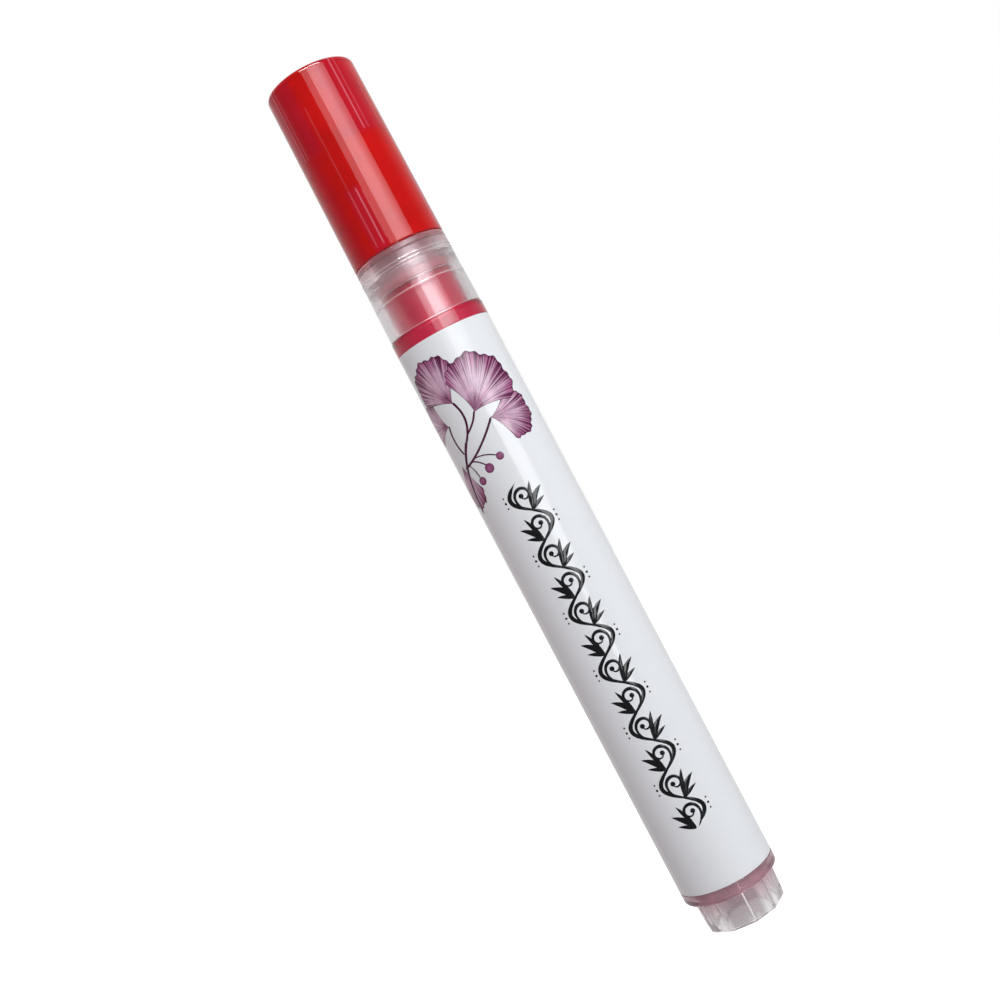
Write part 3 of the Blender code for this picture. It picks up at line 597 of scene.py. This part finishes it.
collarFoot, collarTop, collarRadius = box("front_collar")
barrelFoot, barrelTop, barrelRadius = box("barrel")
labelFoot, labelTop, labelRadius = box("label")
snapRing = barrelTop - 1.4  # the height of the snap between barrel and collar
frontCollar = {
    "seat": capFoot - seatGap, "topDraft": 0.13, "wall": 1.2, "head": 2.65,
    "grooves": (0.85, 3.8), "beads": (2.0, 2.5),  # below the seat
    "grooveDepth": 0.12, "grooveWidth": 0.28, "beadHeight": 0.055, "beadWidth": 0.30,
    "ringStep": 0.02, "chamber": 4.54, "frontWall": 2.5, "frontHole": 3.9, "spigot": 5.44,
    "spigotRound": 0.8, "snapAbove": 1.5, "snapWidth": 0.8, "snapBead": 0.15,
    "snapGroove": 0.05, "footDrop": 0.12, "partingHeight": 0.17, "partingRise": 0.011,
    "mattFrom": (1, 2), "matt": (0.12, 0.28),  # roughness added about the ink, and above these heights
    "mattWithin": 5,  # inside this radius every wall is matt
    "footClear": 2,  # the height over which the foot keeps its clear paint
    "clear": (0.90, 0.86, 0.87, 0.994), "hazy": (0.90, 0.86, 0.87, 0.985),
    # The pink under the cap is a painted reflection of the cap; the parting line, foot and bead paints are
    # painted highlights
    "haziest": (0.90, 0.86, 0.87, 0.975), "underCap": (1.0, 0.44, 0.49, 0.78),
    "partingGlint": (1.0, 0.88, 0.90, 0.72), "footGlint": (1.0, 0.62, 0.66, 0.80),
    "ledge": (0.80, 0.72, 0.74, 0.97), "bead": (1.0, 0.96, 0.96, 0.76),
    "ledgeReach": 0.2, "beadReach": 0.08,  # how far above and below it its paint goes
    # The heights above the snap ring over which each paint takes the place of the one below it
    "zones": ((-0.6, 0.1, "hazy"), (1.4, 2.2, "haziest"), (5.0, 5.9, "underCap")),
}


def collarPaint(values, radius, height):
    # Clear about the ink and hazier above the parting line, with a painted pink reflection of the cap at
    # the top. The parting line, the beads and the foot's outer edge carry painted highlights, and the ledge
    # inside is stained.
    colour = values["clear"]
    for low, high, name in values["zones"]:
        colour = blended(smoothStep(height, snapRing + low, snapRing + high), colour, values[name])
    outside = radius > collarRadius - values["topDraft"] - values["ringStep"] - 3 * hair
    onParting = outside & (height > snapRing - hair) & (height < snapRing + values["partingHeight"] + hair)
    onFoot = outside & (height < collarFoot)
    onLedge = radius < collarRadius - values["wall"] + hair
    onLedge &= np.abs(height - (values["seat"] - values["head"])) < values["ledgeReach"]
    # Painted highlights on the parting line, the foot's outer edge and the beads
    spots = [(onParting, "partingGlint"), (onFoot, "footGlint"), (onLedge, "ledge")]
    for depth in values["beads"]:
        onBead = outside & (np.abs(height - (values["seat"] - depth)) < values["beadReach"])
        spots.append((onBead, "bead"))
    for where, name in spots:
        colour = np.where(where[..., None], values[name], colour)
    return colour


def makeFrontCollar(values):
    # The outside reads downwards from the cap's seat, drafted evenly, with each ring put in at its depth.
    # The foot reaches down to the barrel's shoulder, so that only a hairline shows between them.
    foot, top, wide, seat = collarFoot - values["footDrop"], collarTop, collarRadius, values["seat"]
    bore, ledge, frontLedge = wide - values["wall"], seat - values["head"], top - values["frontWall"]
    spigot, chamber, frontHole = values["spigot"], values["chamber"], values["frontHole"]

    def wall(height):
        drafted = wide - values["topDraft"] * (height - foot) / (seat - foot)
        return drafted - (values["ringStep"] if height > snapRing else 0)

    rings = [(seat - depth, values["grooveWidth"], -values["grooveDepth"]) for depth in values["grooves"]]
    rings += [(seat - depth, values["beadWidth"], values["beadHeight"]) for depth in values["beads"]]
    corners = [(spigot, seat, 0.05), (wall(seat), seat, 0.10)]
    for height, width, rise in sorted(rings, reverse=True):
        corners += bead(wall(height), height, width, rise, -1, (0.06, 0.10))
    partingTop, clearTop = snapRing + values["partingHeight"], foot + values["footClear"]
    mattLow, mattHigh = (snapRing + above for above in values["mattFrom"])
    corners += [
        (wall(partingTop), partingTop, 0.03),
        (wall(snapRing) + values["partingRise"], (snapRing + partingTop) / 2, 0.03),
        (wall(snapRing), snapRing, 0.03), (wall(clearTop), clearTop),
        (wide, foot, 0.12), (bore, foot, 0.08),
        *bead(bore, snapRing, values["snapWidth"], values["snapGroove"], 1),
        (bore, mattLow), (bore, mattHigh), (bore, ledge, 0.1), (chamber, ledge, 0.1),
        (chamber, frontLedge, 0.1), (frontHole, frontLedge, 0.1), (frontHole, top, 0.1),
        (spigot, top, values["spigotRound"]),
        *bead(spigot, seat + values["snapAbove"], values["snapWidth"], values["snapBead"], -1),
        (spigot, seat, 0.05),
    ]
    outline = rounded(corners)
    paint = collarPaint(values, outline[:, 0:1], outline[:, 1:2])
    piece = surface("frontCollar", turned(outline, 160), wrapRows=True, paint=paint)
    spots = np.empty(len(piece.data.vertices) * 3)
    piece.data.vertices.foreach_get("co", spots)
    x, y, height = spots.reshape(-1, 3).T / mm
    radius = np.hypot(x, y)
    below = (radius < bore + values["snapGroove"] + hair) & (height < seat - hair)
    inside = (radius < values["mattWithin"]) | below
    low, high = values["matt"]
    matt = inside * (low + (high - low) * smoothStep(height, mattLow, mattHigh))
    piece.data.attributes.new("matt", "FLOAT", "POINT").data.foreach_set("value", matt)
    return piece


place(makeFrontCollar(frontCollar), "pen_body", collarClear, "clear_plastic", "front_collar")

shoulder = collarFoot - seatGap  # the barrel's, under the collar's foot
barrelShell = {
    "bore": 5.5, "rimFillet": 0.55, "panel": 6.8, "labelGap": 0.1, "neck": 5.42,
    "neckBore": 4.32, "snapWidth": 0.8, "snapBead": 0.15, "shoulderWall": 0.32,
    "ceilingFall": 0.05, "ceilingFillet": 0.12, "clear": (0.93, 0.90, 0.90, 1.0),
    # The foot's pink is a real ink stain with painted pink light from the ink column over it
    "stainAndInkLight": (0.62, 0.41, 0.46, 0.8), "stainTop": 7.4, "stainFade": 1,
    "rim": (0.80, 0.45, 0.50, 0.85), "rimDepth": 0.15,
}


def makeBarrel(values):
    # The foot of the tank, where ink has stood behind the plug, keeps a dull pink stain, with painted
    # pink light from the ink column over it, and the neck's rim is painted a duller, less clear pink. The
    # rim's fillets are held between close points, so that it alone takes the rim's paint.
    foot, top, wide, panel = barrelFoot, barrelTop, barrelRadius, values["panel"]
    bore, neck, neckBore = values["bore"], values["neck"], values["neckBore"]
    panelFoot, panelTop = labelFoot - values["labelGap"], labelTop + values["labelGap"]
    stainTop, fade, coneTop = values["stainTop"], values["stainFade"], shoulder - values["shoulderWall"]
    rimDepth = values["rimDepth"]
    outline = rounded([
        (bore, foot, 0.1), (wide, foot, values["rimFillet"]), (wide, panelFoot, 0.03),
        (panel, panelFoot, 0.05), (panel, panelTop, 0.05), (wide, panelTop, 0.03),
        (wide, shoulder, 0.12), (neck, shoulder, 0.15),
        *bead(neck, snapRing, values["snapWidth"], values["snapBead"], 1),
        (neck, top - 2 * rimDepth), (neck, top, 0.08), (neckBore, top, 0.08),
        (neckBore, top - 2 * rimDepth), (neckBore, coneTop, 0.3),
        (bore, coneTop - values["ceilingFall"], values["ceilingFillet"]),
        (bore, stainTop + 2 * fade), (bore, stainTop), (bore, foot, 0.1),
    ])
    stained = 1 - smoothStep(outline[:, 1:2], stainTop - fade, stainTop)
    paint = blended(stained, values["clear"], values["stainAndInkLight"])
    paint[outline[:, 1] > top - rimDepth] = values["rim"]
    return surface("barrelShell", turned(outline, 160), wrapRows=True, paint=paint)


place(makeBarrel(barrelShell), "pen_body", barrelClear, "frosted_plastic", "barrel")

inkFill = {"soak": 0.02, "way": 2.9, "tubeWay": 3.3, "tubeWayFoot": 8.9, "creep": 1.15}


def makeInkFill(values, barrel):
    # The ink wets the barrel, so its skin lies a hair inside the wall and no air shows between them. It
    # creeps up the neck to the gasket.
    foot, level, way, tubeWay = *box("ink")[:2], values["way"], values["tubeWay"]
    top, wayTop = level + values["creep"], level - values["tubeWayFoot"]
    coneTop = shoulder - barrel["shoulderWall"]
    bore, neck = barrel["bore"] + values["soak"], barrel["neckBore"] + values["soak"]
    corners = [
        (way, foot, 0.1), (bore, foot, 0.2),
        (bore, coneTop - barrel["ceilingFall"], barrel["ceilingFillet"]), (neck, coneTop, 0.3),
        (neck, top, 0.15), (tubeWay, top, 0.15), (tubeWay, wayTop, 0.1), (way, wayTop, 0.1),
        (way, foot, 0.1),
    ]
    return surface("inkFill", turned(rounded(corners), 128), wrapRows=True)


place(makeInkFill(inkFill, barrelShell), "pen_body", redInk, "red_ink", "ink")

neckGasket = {"bore": 4.32, "squeeze": 0.18, "bulge": 0.06}


def makeNeckGasket(values):
    # The ring reaches both its neighbours and swells a little in the middle
    foot, top, wide = box("neck_gasket")
    foot, top = foot - values["squeeze"], top + values["squeeze"]
    corners = [
        (values["bore"], foot), (wide, foot, 0.05), (wide + values["bulge"], (foot + top) / 2, 0.4),
        (wide, top, 0.05), (values["bore"], top), (values["bore"], foot),
    ]
    return surface("neckGasket", turned(rounded(corners), 96), wrapRows=True)


place(makeNeckGasket(neckGasket), "pen_body", stainedSilicone, "seal_rubber", "neck_gasket")

endPlug = {
    "facets": 10, "turnDegrees": 4.1, "cornerTop": 6.15, "cornerFoot": 5.95, "chamfer": 0.4,
    "head": barrelFoot - seatGap, "spigot": 5.2, "recess": 4.2, "web": 1.2, "edgeRound": 0.06,
    "easeTurn": 0.05,  # radians on either side of a corner
    "sealHeight": 0.2, "sealWidth": 0.8, "seals": (4.8, 2.4),  # above the head
    "clear": (0.92, 0.91, 0.91, 0.95), "stainAndInkLight": (0.66, 0.48, 0.52, 0.85),
    # Painted shade on the recess walls, darkest on the front half, and painted highlights on the facet
    # edges, strongest on the front one
    "inside": (0.30, 0.26, 0.27, 0.9), "recessShadeBack": (0.50, 0.42, 0.45, 0.9), "recessShadeDegrees": (-4, 26, 46),
    "edge": (0.95, 0.95, 0.95, 0.1), "edgeHighlight": 0.3, "frontEdgeHighlight": 1.0, "edgeTurns": (0.008, 0.022),
}


def makeEndPlug(values):
    # A turned outline whose head is drawn out to ten facets: there the radius is the apothem over the
    # cosine of the angle from the facet's middle, eased round each corner. Elsewhere it stays round.
    top, head, spigot, recess = box("end_plug")[1], values["head"], values["spigot"], values["recess"]
    chamfer, cornerFoot, recessTop = values["chamfer"], values["cornerFoot"], top - values["web"]
    corners = [(0, top), (spigot, top, chamfer)]
    for above in values["seals"]:
        corners += bead(spigot, head + above, values["sealWidth"], values["sealHeight"], -1)
    corners += [
        (spigot, head, 0.05), (values["cornerTop"], head, 0.08), (cornerFoot, chamfer, 0.06),
        (cornerFoot - chamfer, 0, 0.06), (recess, 0, 0.15), (recess, head / 2), (recess, head),
        (recess, recessTop, chamfer), (0, recessTop),
    ]
    outline = rounded(corners, steps=4)
    # The columns crowd towards each corner, by a power of their share of the way from the facet's middle
    perFacet, crowding, half = 24, 1.8, math.pi / values["facets"]
    share = np.linspace(-1, 1, perFacet, endpoint=False)
    bent = np.sign(share) * (1 - (1 - np.abs(share)) ** crowding) * half
    first = math.radians(values["turnDegrees"])
    turn = (np.arange(values["facets"])[:, None] * 2 * half + half + bent[None, :]).reshape(-1) + first
    off = np.tile(bent, values["facets"])
    ease = values["edgeRound"] / values["cornerTop"]
    easing = 1 - ease / 2 * (1 + smoothStep(np.abs(off), half - values["easeTurn"], half))
    flat = np.minimum(np.cos(half) / np.cos(off) - ease / 2, easing)
    radius, height = outline[:, 0:1], outline[:, 1:2]
    onHead = smoothStep(radius, spigot + 2 * hair, spigot + 5 * hair) * (height < head + hair / 10)
    onFoot = (height < chamfer / 2) & (radius < (recess + cornerFoot - chamfer) / 2)
    onHead = np.where(onFoot, 0, onHead)
    shaped = radius * (1 + onHead * (flat[None, :] - 1))
    points = polar(shaped, turn, height)
    # Pink towards the head: an ink stain with painted pink light from the ink column
    paint = blended(smoothStep(height + 0 * turn, head / 2, head), values["clear"], values["stainAndInkLight"])
    # The recess walls take painted shade near the middle angle, darker on the front half than the back
    hollow = (radius < recess + hair) & (height < top - values["web"] / 2)
    middle, near, far = values["recessShadeDegrees"]
    fromMiddle = np.degrees(np.abs(angleFrom(turn, 2, middle)))
    inside = np.where((np.cos(turn) > 0)[:, None], values["inside"], values["recessShadeBack"])
    paint = blended(hollow * (1 - smoothStep(fromMiddle, near, far)), paint, inside)
    # Painted highlights along the facet edges, strongest on the front edge
    atEdge = (1 - smoothStep(half - np.abs(off), *values["edgeTurns"])) * onHead * (height > chamfer / 2)
    front = np.abs(angleFrom(turn, 1, values["turnDegrees"])) < half
    atEdge = atEdge * np.where(front, values["frontEdgeHighlight"], values["edgeHighlight"])
    return surface("endPlug", points, sharpDegrees=30, paint=blended(atEdge, paint, values["edge"]))


place(makeEndPlug(endPlug), "pen_body", plugClear, "clear_plastic", "end_plug")
print("body made")

label = {"thickness": 0.12, "seamDegrees": 3.0, "edgeRound": 0.04, "rows": 60, "columns": 181}


def makeLabel(values):
    # A thin rounded strip carried round the barrel from one side of the seam to the other
    foot, top, outer, edgeRound = labelFoot, labelTop, labelRadius, values["edgeRound"]
    inner = outer - values["thickness"]
    corners = [(inner, foot), (outer, foot, edgeRound), (outer, top, edgeRound), (inner, top)]
    outline = splitLongest(rounded(corners, steps=3), values["rows"])
    seam = math.radians(values["seamDegrees"]) / 2
    turn = np.linspace(-math.pi + seam, math.pi - seam, values["columns"])
    points = polar(outline[:, 0:1], turn, outline[:, 1:2])
    piece = surface("labelWrap", points, wrapColumns=False, wrapRows=True)
    closeFaces(piece.data, fillHoles=True)
    return piece


place(makeLabel(label), "pen_body", labelFilm, "label_film", "label")
print("label made")


def onLabel(arc, height, lift):
    # Points at an arc length round the label from its front, and a lift off its outside
    return polar(labelRadius + lift, arc / labelRadius, height)


printLift = 0.014  # how far a stroke or a dot stands out of the film
fullLift = 0.05  # the half width from which a stroke has all of that


def ribbon(path, half, lift=printLift):
    # A printed stroke: six points round each point of its path, domed outside and sunk a little into the
    # film, so that its section is a flat lens
    forward = np.gradient(path, axis=0)
    forward /= np.linalg.norm(forward, axis=1)[:, None]
    across = np.stack([-forward[:, 1], forward[:, 0]], axis=-1)
    shares, rises = np.array([-1, -0.8, 0.8, 1, 0.8, -0.8]), np.array([0, 1, 1, 0, -0.5, -0.5])
    spots = path[:, None] + shares[None, :, None] * half[:, None, None] * across[:, None]
    return onLabel(spots[..., 0], spots[..., 1], rises * lift * np.clip(half / fullLift, 0, 1)[:, None])


def disc(centre, radius, lift=printLift):
    # A printed dot, whose rings run from its raised middle out to its rim and back underneath
    turn = np.linspace(0, math.tau, 22, endpoint=False)
    shares, rises = np.array([0, 0.75, 1, 0.75, 0])[:, None], np.array([1, 1, 0, -0.5, -0.5])[:, None]
    across, up = (radius * shares * part(turn) for part in (np.cos, np.sin))
    return onLabel(centre[0] + across, centre[1] + up, rises * lift)


def bowed(start, bend, end, steps=20):
    # A quadratic curve: (1-t)^2 of the start, 2t(1-t) of the bend and t^2 of the end
    t = np.linspace(0, 1, steps)[:, None]
    return (1 - t) ** 2 * np.array(start) + 2 * t * (1 - t) * np.array(bend) + t**2 * np.array(end)


scroll = {
    "middle": -0.6, "foot": 15.4, "bays": 12, "bay": 4.33, "sway": 2.0, "taper": 1.2,
    "stem": (0.16, 0.14), "volute": (0.35, 1.05, 0.9), "voluteTurn": 7.85, "flickTurn": 0.6,
    "swell": ((0, 0), (0.3, 0.12), (2.6, 0.24), (7.0, 0.09), (7.85, 0)), "bud": 0.34,  # turn and half width
    "leaves": (
        ((0.25, -0.15), (0.9, 1.5), (2.75, 2.4), 0.42), ((0.25, -0.15), (1.2, 0.5), (2.5, 0.9), 0.28),
        ((0.25, -0.15), (0.85, 2.2), (1.55, 3.55), 0.30),
    ),
    "dots": ((-0.75, 0.13), (0, 0.17), (0.75, 0.13)), "dotsAside": 2.75,
    "leafPower": 0.8,  # under 1, leaves are widest before their middle and blunter than a sine
}


def makeScroll(values):
    # A running scroll. Its stem sways by a sine of the height. In each bay a volute winds in round the bay's
    # middle, with radius a + b (1 - t / whole) + c exp(-t / flick) at angle t, and leaves spring opposite,
    # as wide as a sine of their length.
    middle, foot, bay, count = values["middle"], values["foot"], values["bay"], values["bays"]
    height = np.linspace(foot, foot + bay * count, 60 * count)
    phase = math.pi * (height - foot) / bay
    end = smoothStep(np.minimum(height - height[0], height[-1] - height), 0, values["taper"])
    half = (values["stem"][0] + values["stem"][1] * np.abs(np.sin(phase))) * end
    grids = [ribbon(np.stack([middle + values["sway"] * np.sin(phase), height], axis=1), half)]
    near, spread, flick = values["volute"]
    t, share = np.linspace(0, values["voluteTurn"], 110), np.linspace(0, 1, 26)
    fullness = np.sin(math.pi * share ** values["leafPower"]) ** values["leafPower"]
    radius = near + spread * (1 - t / values["voluteTurn"]) + flick * np.exp(-t / values["flickTurn"])
    swell = np.interp(t, *zip(*values["swell"]))
    for k in range(count):
        side, level = (-1) ** k, foot + bay * (k + 0.5)
        angle = -math.pi / 2 + side * t
        path = np.stack([middle + radius * np.cos(angle), level + radius * np.sin(angle)], axis=1)
        grids += [ribbon(path, swell), disc(path[-1], values["bud"])]
        root = np.array([middle, level - bay / 2])
        for start, bend, tip, width in values["leaves"]:
            curve = bowed(start, bend, tip, len(share)) * np.array([-side, 1]) + root
            grids.append(ribbon(curve, width * fullness))
        for rise, size in values["dots"]:
            grids.append(disc((middle + side * values["dotsAside"], level + rise), size))
    return surface("printedScroll", grids)


place(makeScroll(scroll), "pen_body", blackPrint, "label_film")

spray = {
    "deep": (0.085, 0.014, 0.050), "mauve": (0.46, 0.15, 0.30), "pale": (0.76, 0.57, 0.68), "seed": 11,
    "fans": (  # base along the arc and up, direction in degrees, radius and half angle
        (-7.4, 72.6, -96, 6.4, 32), (-5.8, 78.0, 158, 5.6, 52), (0.4, 76.4, -14, 6.2, 52),
        (-3.4, 80.4, 112, 7.2, 54), (-1.2, 78.0, 52, 8.2, 58),
    ),
    "stems": (  # start, bend and end along the arc and up, and half width
        ((-8.2, 65.4), (-7.8, 71.0), (-4.2, 75.2), 0.22), ((-4.5, 74.8), (-1.8, 77.4), (-3.4, 80.6), 0.17),
        ((-3.5, 75.9), (-1.9, 76.8), (-1.2, 78.2), 0.14), ((-6.9, 71.9), (-3.2, 72.4), (0.5, 76.5), 0.16),
        ((-5.6, 73.7), (-6.6, 76.0), (-5.7, 78.1), 0.14), ((-5.3, 72.4), (-4.0, 72.2), (-3.1, 70.9), 0.10),
        ((-4.4, 72.6), (-2.6, 72.6), (-1.3, 71.6), 0.09), ((-5.9, 72.3), (-5.2, 71.4), (-5.0, 70.0), 0.09),
    ),
    "berries": (  # along the arc and up, and radius
        (-3.0, 70.5, 0.68), (-0.9, 71.3, 0.56), (-4.9, 69.4, 0.60),
    ),
    "berryDark": (0.25, 0.55, 1, 1, 1),  # from a berry's middle out to its rim
    "fanLift": 0.010, "fanStep": 0.004, "stemLift": 0.032, "berryLift": 0.036,  # each fan lies over the last
    "sideFall": 0.30, "rippleWaves": (13, 37), "rippleHeights": (0.025, 0.015),  # as shares of the radius
    "gather": 0.55,  # the share of a fan's spread that it has at its base
    "strandWidths": (2, 5, 17),  # in columns, of the fine, rough and broad strands
    "taperShare": 1 / 30,  # of a stem's length, at each end
}


def makeFan(values, chance, spot, order):
    # A fan-shaped leaf in polar steps about its base. Its radius falls off towards the sides and ripples
    # along the rim. Strokes run in from the rim and out from the base, each column's with a length of its
    # own. The numbers in the strokes are shares of the fan's length, and in tone and dark of full colour.
    # The underside is a second sheet that shares the first one's edge.
    arc, level, direction, radius, half = spot
    columns, rows = 241, 30
    across, share = np.linspace(-1, 1, columns)[None, :], np.linspace(0, 1, rows)[:, None]
    (slow, fast), (high, low) = values["rippleWaves"], values["rippleHeights"]
    ripple = high * np.sin(across * slow + order) + low * np.sin(across * fast + 2 * order)
    reach = radius * (1 - values["sideFall"] * np.abs(across) ** 2.4 + ripple)
    opening = values["gather"] + (1 - values["gather"]) * share**0.5
    angle = math.radians(direction) + across * math.radians(half) * opening
    spread = arc + reach * share * np.cos(angle), level + reach * share * np.sin(angle)
    inside = (share > 0) & (share < 1) & (np.abs(across) < 1)
    lift, sunk = values["fanLift"] + values["fanStep"] * order, -values["fanStep"]
    sheets = [onLabel(*spread, lift * inside), onLabel(*spread, sunk * inside)]
    fine, rough, broad = (
        np.repeat(chance.random(columns // wide + 1), wide)[:columns][None, :]
        for wide in values["strandWidths"]
    )
    fromRim = smoothStep(share, 0.88 - 0.42 * fine - 0.25 * rough, 1.04 - 0.10 * rough)
    fromBase = 1 - smoothStep(share, 0.06 + 0.22 * rough, 0.22 + 0.46 * fine)
    edge = smoothStep(np.maximum(share, np.abs(across)), 0.955, 0.98)
    tone = 0.15 + 0.30 * broad + 0.80 * fromRim + 0.55 * fromBase
    dark = 0.9 * (edge + fromRim * (fine > 0.45) + fromBase * (fine < 0.5)) + 0.45 * (fine > 0.84)
    colour = blended(dark, blended(tone, values["pale"], values["mauve"]), values["deep"])
    return sheets, [colour, colour]


def makeFans(values):
    # The fans draw their strands from one run of chance, in order
    chance = np.random.default_rng(values["seed"])
    grids, paint = [], []
    for order, spot in enumerate(values["fans"]):
        sheets, colours = makeFan(values, chance, spot, order)
        grids += sheets
        paint += colours
    return surface("printedFans", grids, wrapColumns=False, paint=paint)


def makeStems(values):
    # Stems taper towards both ends, and berries darken from their middle to their rim
    grids, paint = [], []
    share = np.linspace(0, 1, 60)
    for start, bend, end, width in values["stems"]:
        half = width * np.clip(np.minimum(share, 1 - share) / values["taperShare"], 0, 1)
        grids.append(ribbon(bowed(start, bend, end, len(share)), half, values["stemLift"]))
        paint.append(values["deep"])
    for arc, level, radius in values["berries"]:
        grids.append(disc((arc, level), radius, values["berryLift"]))
        paint.append(blended(np.array(values["berryDark"])[:, None], values["mauve"], values["deep"]))
    return surface("printedStems", grids, paint=paint)


place(makeFans(spray), "pen_body", leafPrint, "label_film")
place(makeStems(spray), "pen_body", leafPrint, "label_film")
print("label printed")

noseCone = {
    "flange": 4.24, "flangeHeight": 2.0, "body": 3.6, "bodyLength": 4.1, "shoulder": 0.6,
    "cone": 3.1, "tip": 2.3, "bore": 1.75, "chamber": 2.3, "chamberTop": 7.0,
}


def makeNoseCone(values):
    # A stepped tube turned round the axis: flange, body, cone and tip, with a wider chamber below its bore
    foot, top, flange, body = *box("nose_cone")[:2], values["flange"], values["body"]
    bore, chamber, chamberTop = values["bore"], values["chamber"], foot + values["chamberTop"]
    flangeTop = foot + values["flangeHeight"]
    bodyTop = flangeTop + values["bodyLength"]
    corners = [
        (chamber, foot, 0.1), (flange, foot, 0.15), (flange, flangeTop, 0.15),
        (body, flangeTop, 0.15), (body, bodyTop, 0.2),
        (values["cone"], bodyTop + values["shoulder"], 0.2), (values["tip"], top, 0.25),
        (bore, top, 0.12), (bore, chamberTop, 0.1), (chamber, chamberTop, 0.1), (chamber, foot, 0.1),
    ]
    return surface("noseCone", turned(rounded(corners), 96), wrapRows=True)


place(makeNoseCone(noseCone), "pen_body", whitePlastic, "natural_plastic", "nose_cone")

nibSleeve = {"bore": 0.95, "outer": 1.45, "flangeHeight": 0.8, "taper": 1.7, "endWall": 0.12}


def makeNibSleeve(values):
    # A tube turned round the axis, with a flange at its foot and a long taper at its top
    foot, top, wide, bore, outer = *box("nib_sleeve"), values["bore"], values["outer"]
    flangeTop = foot + values["flangeHeight"]
    corners = [
        (bore, foot, 0.05), (wide, foot, 0.1), (wide, flangeTop, 0.1), (outer, flangeTop, 0.1),
        (outer, top - values["taper"], 0.4), (bore + values["endWall"], top, 0.05), (bore, top, 0.05),
        (bore, foot, 0.05),
    ]
    return surface("nibSleeve", turned(rounded(corners), 64), wrapRows=True)


place(makeNibSleeve(nibSleeve), "nib_and_valve", whitePlastic, "white_plastic", "nib_sleeve")

nib = {"pointLength": 1.9, "pointRadius": 0.3, "pointSlope": 1.1}


def makeNib(values):
    # A rod turned round the axis, that runs to a rounded point
    foot, top, wide, point = *box("nib"), values["pointRadius"]
    corners = [(0, foot), (wide, foot, 0.1), (wide, top - values["pointLength"], 0.5)]
    corners += [(point * values["pointSlope"], top - point, 0.2), (0, top)]
    return surface("fibreNib", turned(rounded(corners), 48))


place(makeNib(nib), "nib_and_valve", nibFibre, "nib_fibre", "nib")

springFoot, springTop = box("valve_spring")[:2]
valveSpring = {"wire": 0.2, "radius": 1.6, "openTurns": 5, "endPitch": 0.9, "travel": 1.5}


def makeValveSpring(values):
    # A round wire carried along a helix, whose height climbs slower over the first and last turn
    turns, sides = values["openTurns"] + 2, 16
    low, high = springFoot + values["wire"], springTop - values["wire"]
    along = np.linspace(0, turns, turns * 48 + 1)
    bends = [low, low + values["endPitch"], high - values["endPitch"], high]
    height = np.interp(along, [0, 1, turns - 1, turns], bends)
    angle = math.tau * along[:, None]
    out = np.concatenate([np.cos(angle), np.sin(angle), 0 * angle], axis=1)
    middle = values["radius"] * out + np.array([0, 0, 1]) * height[:, None]
    forward = np.gradient(middle, axis=0)
    forward /= np.linalg.norm(forward, axis=1)[:, None]
    across = np.cross(forward, out)
    turn = np.linspace(0, math.tau, sides, endpoint=False)[None, :, None]
    section = np.cos(turn) * out[:, None, :] + np.sin(turn) * across[:, None, :]
    points = middle[:, None, :] + values["wire"] * section
    ends = np.repeat(middle[[0, -1], None, :], sides, axis=1)
    return surface("valveSpring", np.concatenate([ends[:1], points, ends[1:]]))


spring = place(makeValveSpring(valveSpring), "pen_body", springWire, "spring_steel", "valve_spring")
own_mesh(spring)


def makeBall():
    # A sphere: each row is a circle of latitude
    foot, top = box("mixing_ball")[:2]
    centre, radius = (foot + top) / 2, (top - foot) / 2
    latitude = np.linspace(-math.pi / 2, math.pi / 2, 49)
    outline = np.stack([radius * np.cos(latitude), centre + radius * np.sin(latitude)], axis=1)
    return surface("mixingBall", turned(outline, 96))


place(makeBall(), "ball", ballSteel, "polished_steel", "mixing_ball")

# These four stay as the solids that the frame brings, with the scene's own finishes
carriedOver = {
    "valve_housing": naturalPlastic, "seat_washer": stainedSilicone, "spring_retainer": naturalPlastic,
    "valve_plunger": naturalPlastic,
}
for nodeName, finish in carriedOver.items():
    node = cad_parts[nodeName]
    node.data.materials.clear()
    node.data.materials.append(finish)
# Clear pieces let the light through to what they hold
for clearPiece in ("frontCollar", "barrelShell", "endPlug"):
    bpy.data.objects[clearPiece].visible_shadow = False
print("inner pieces made")
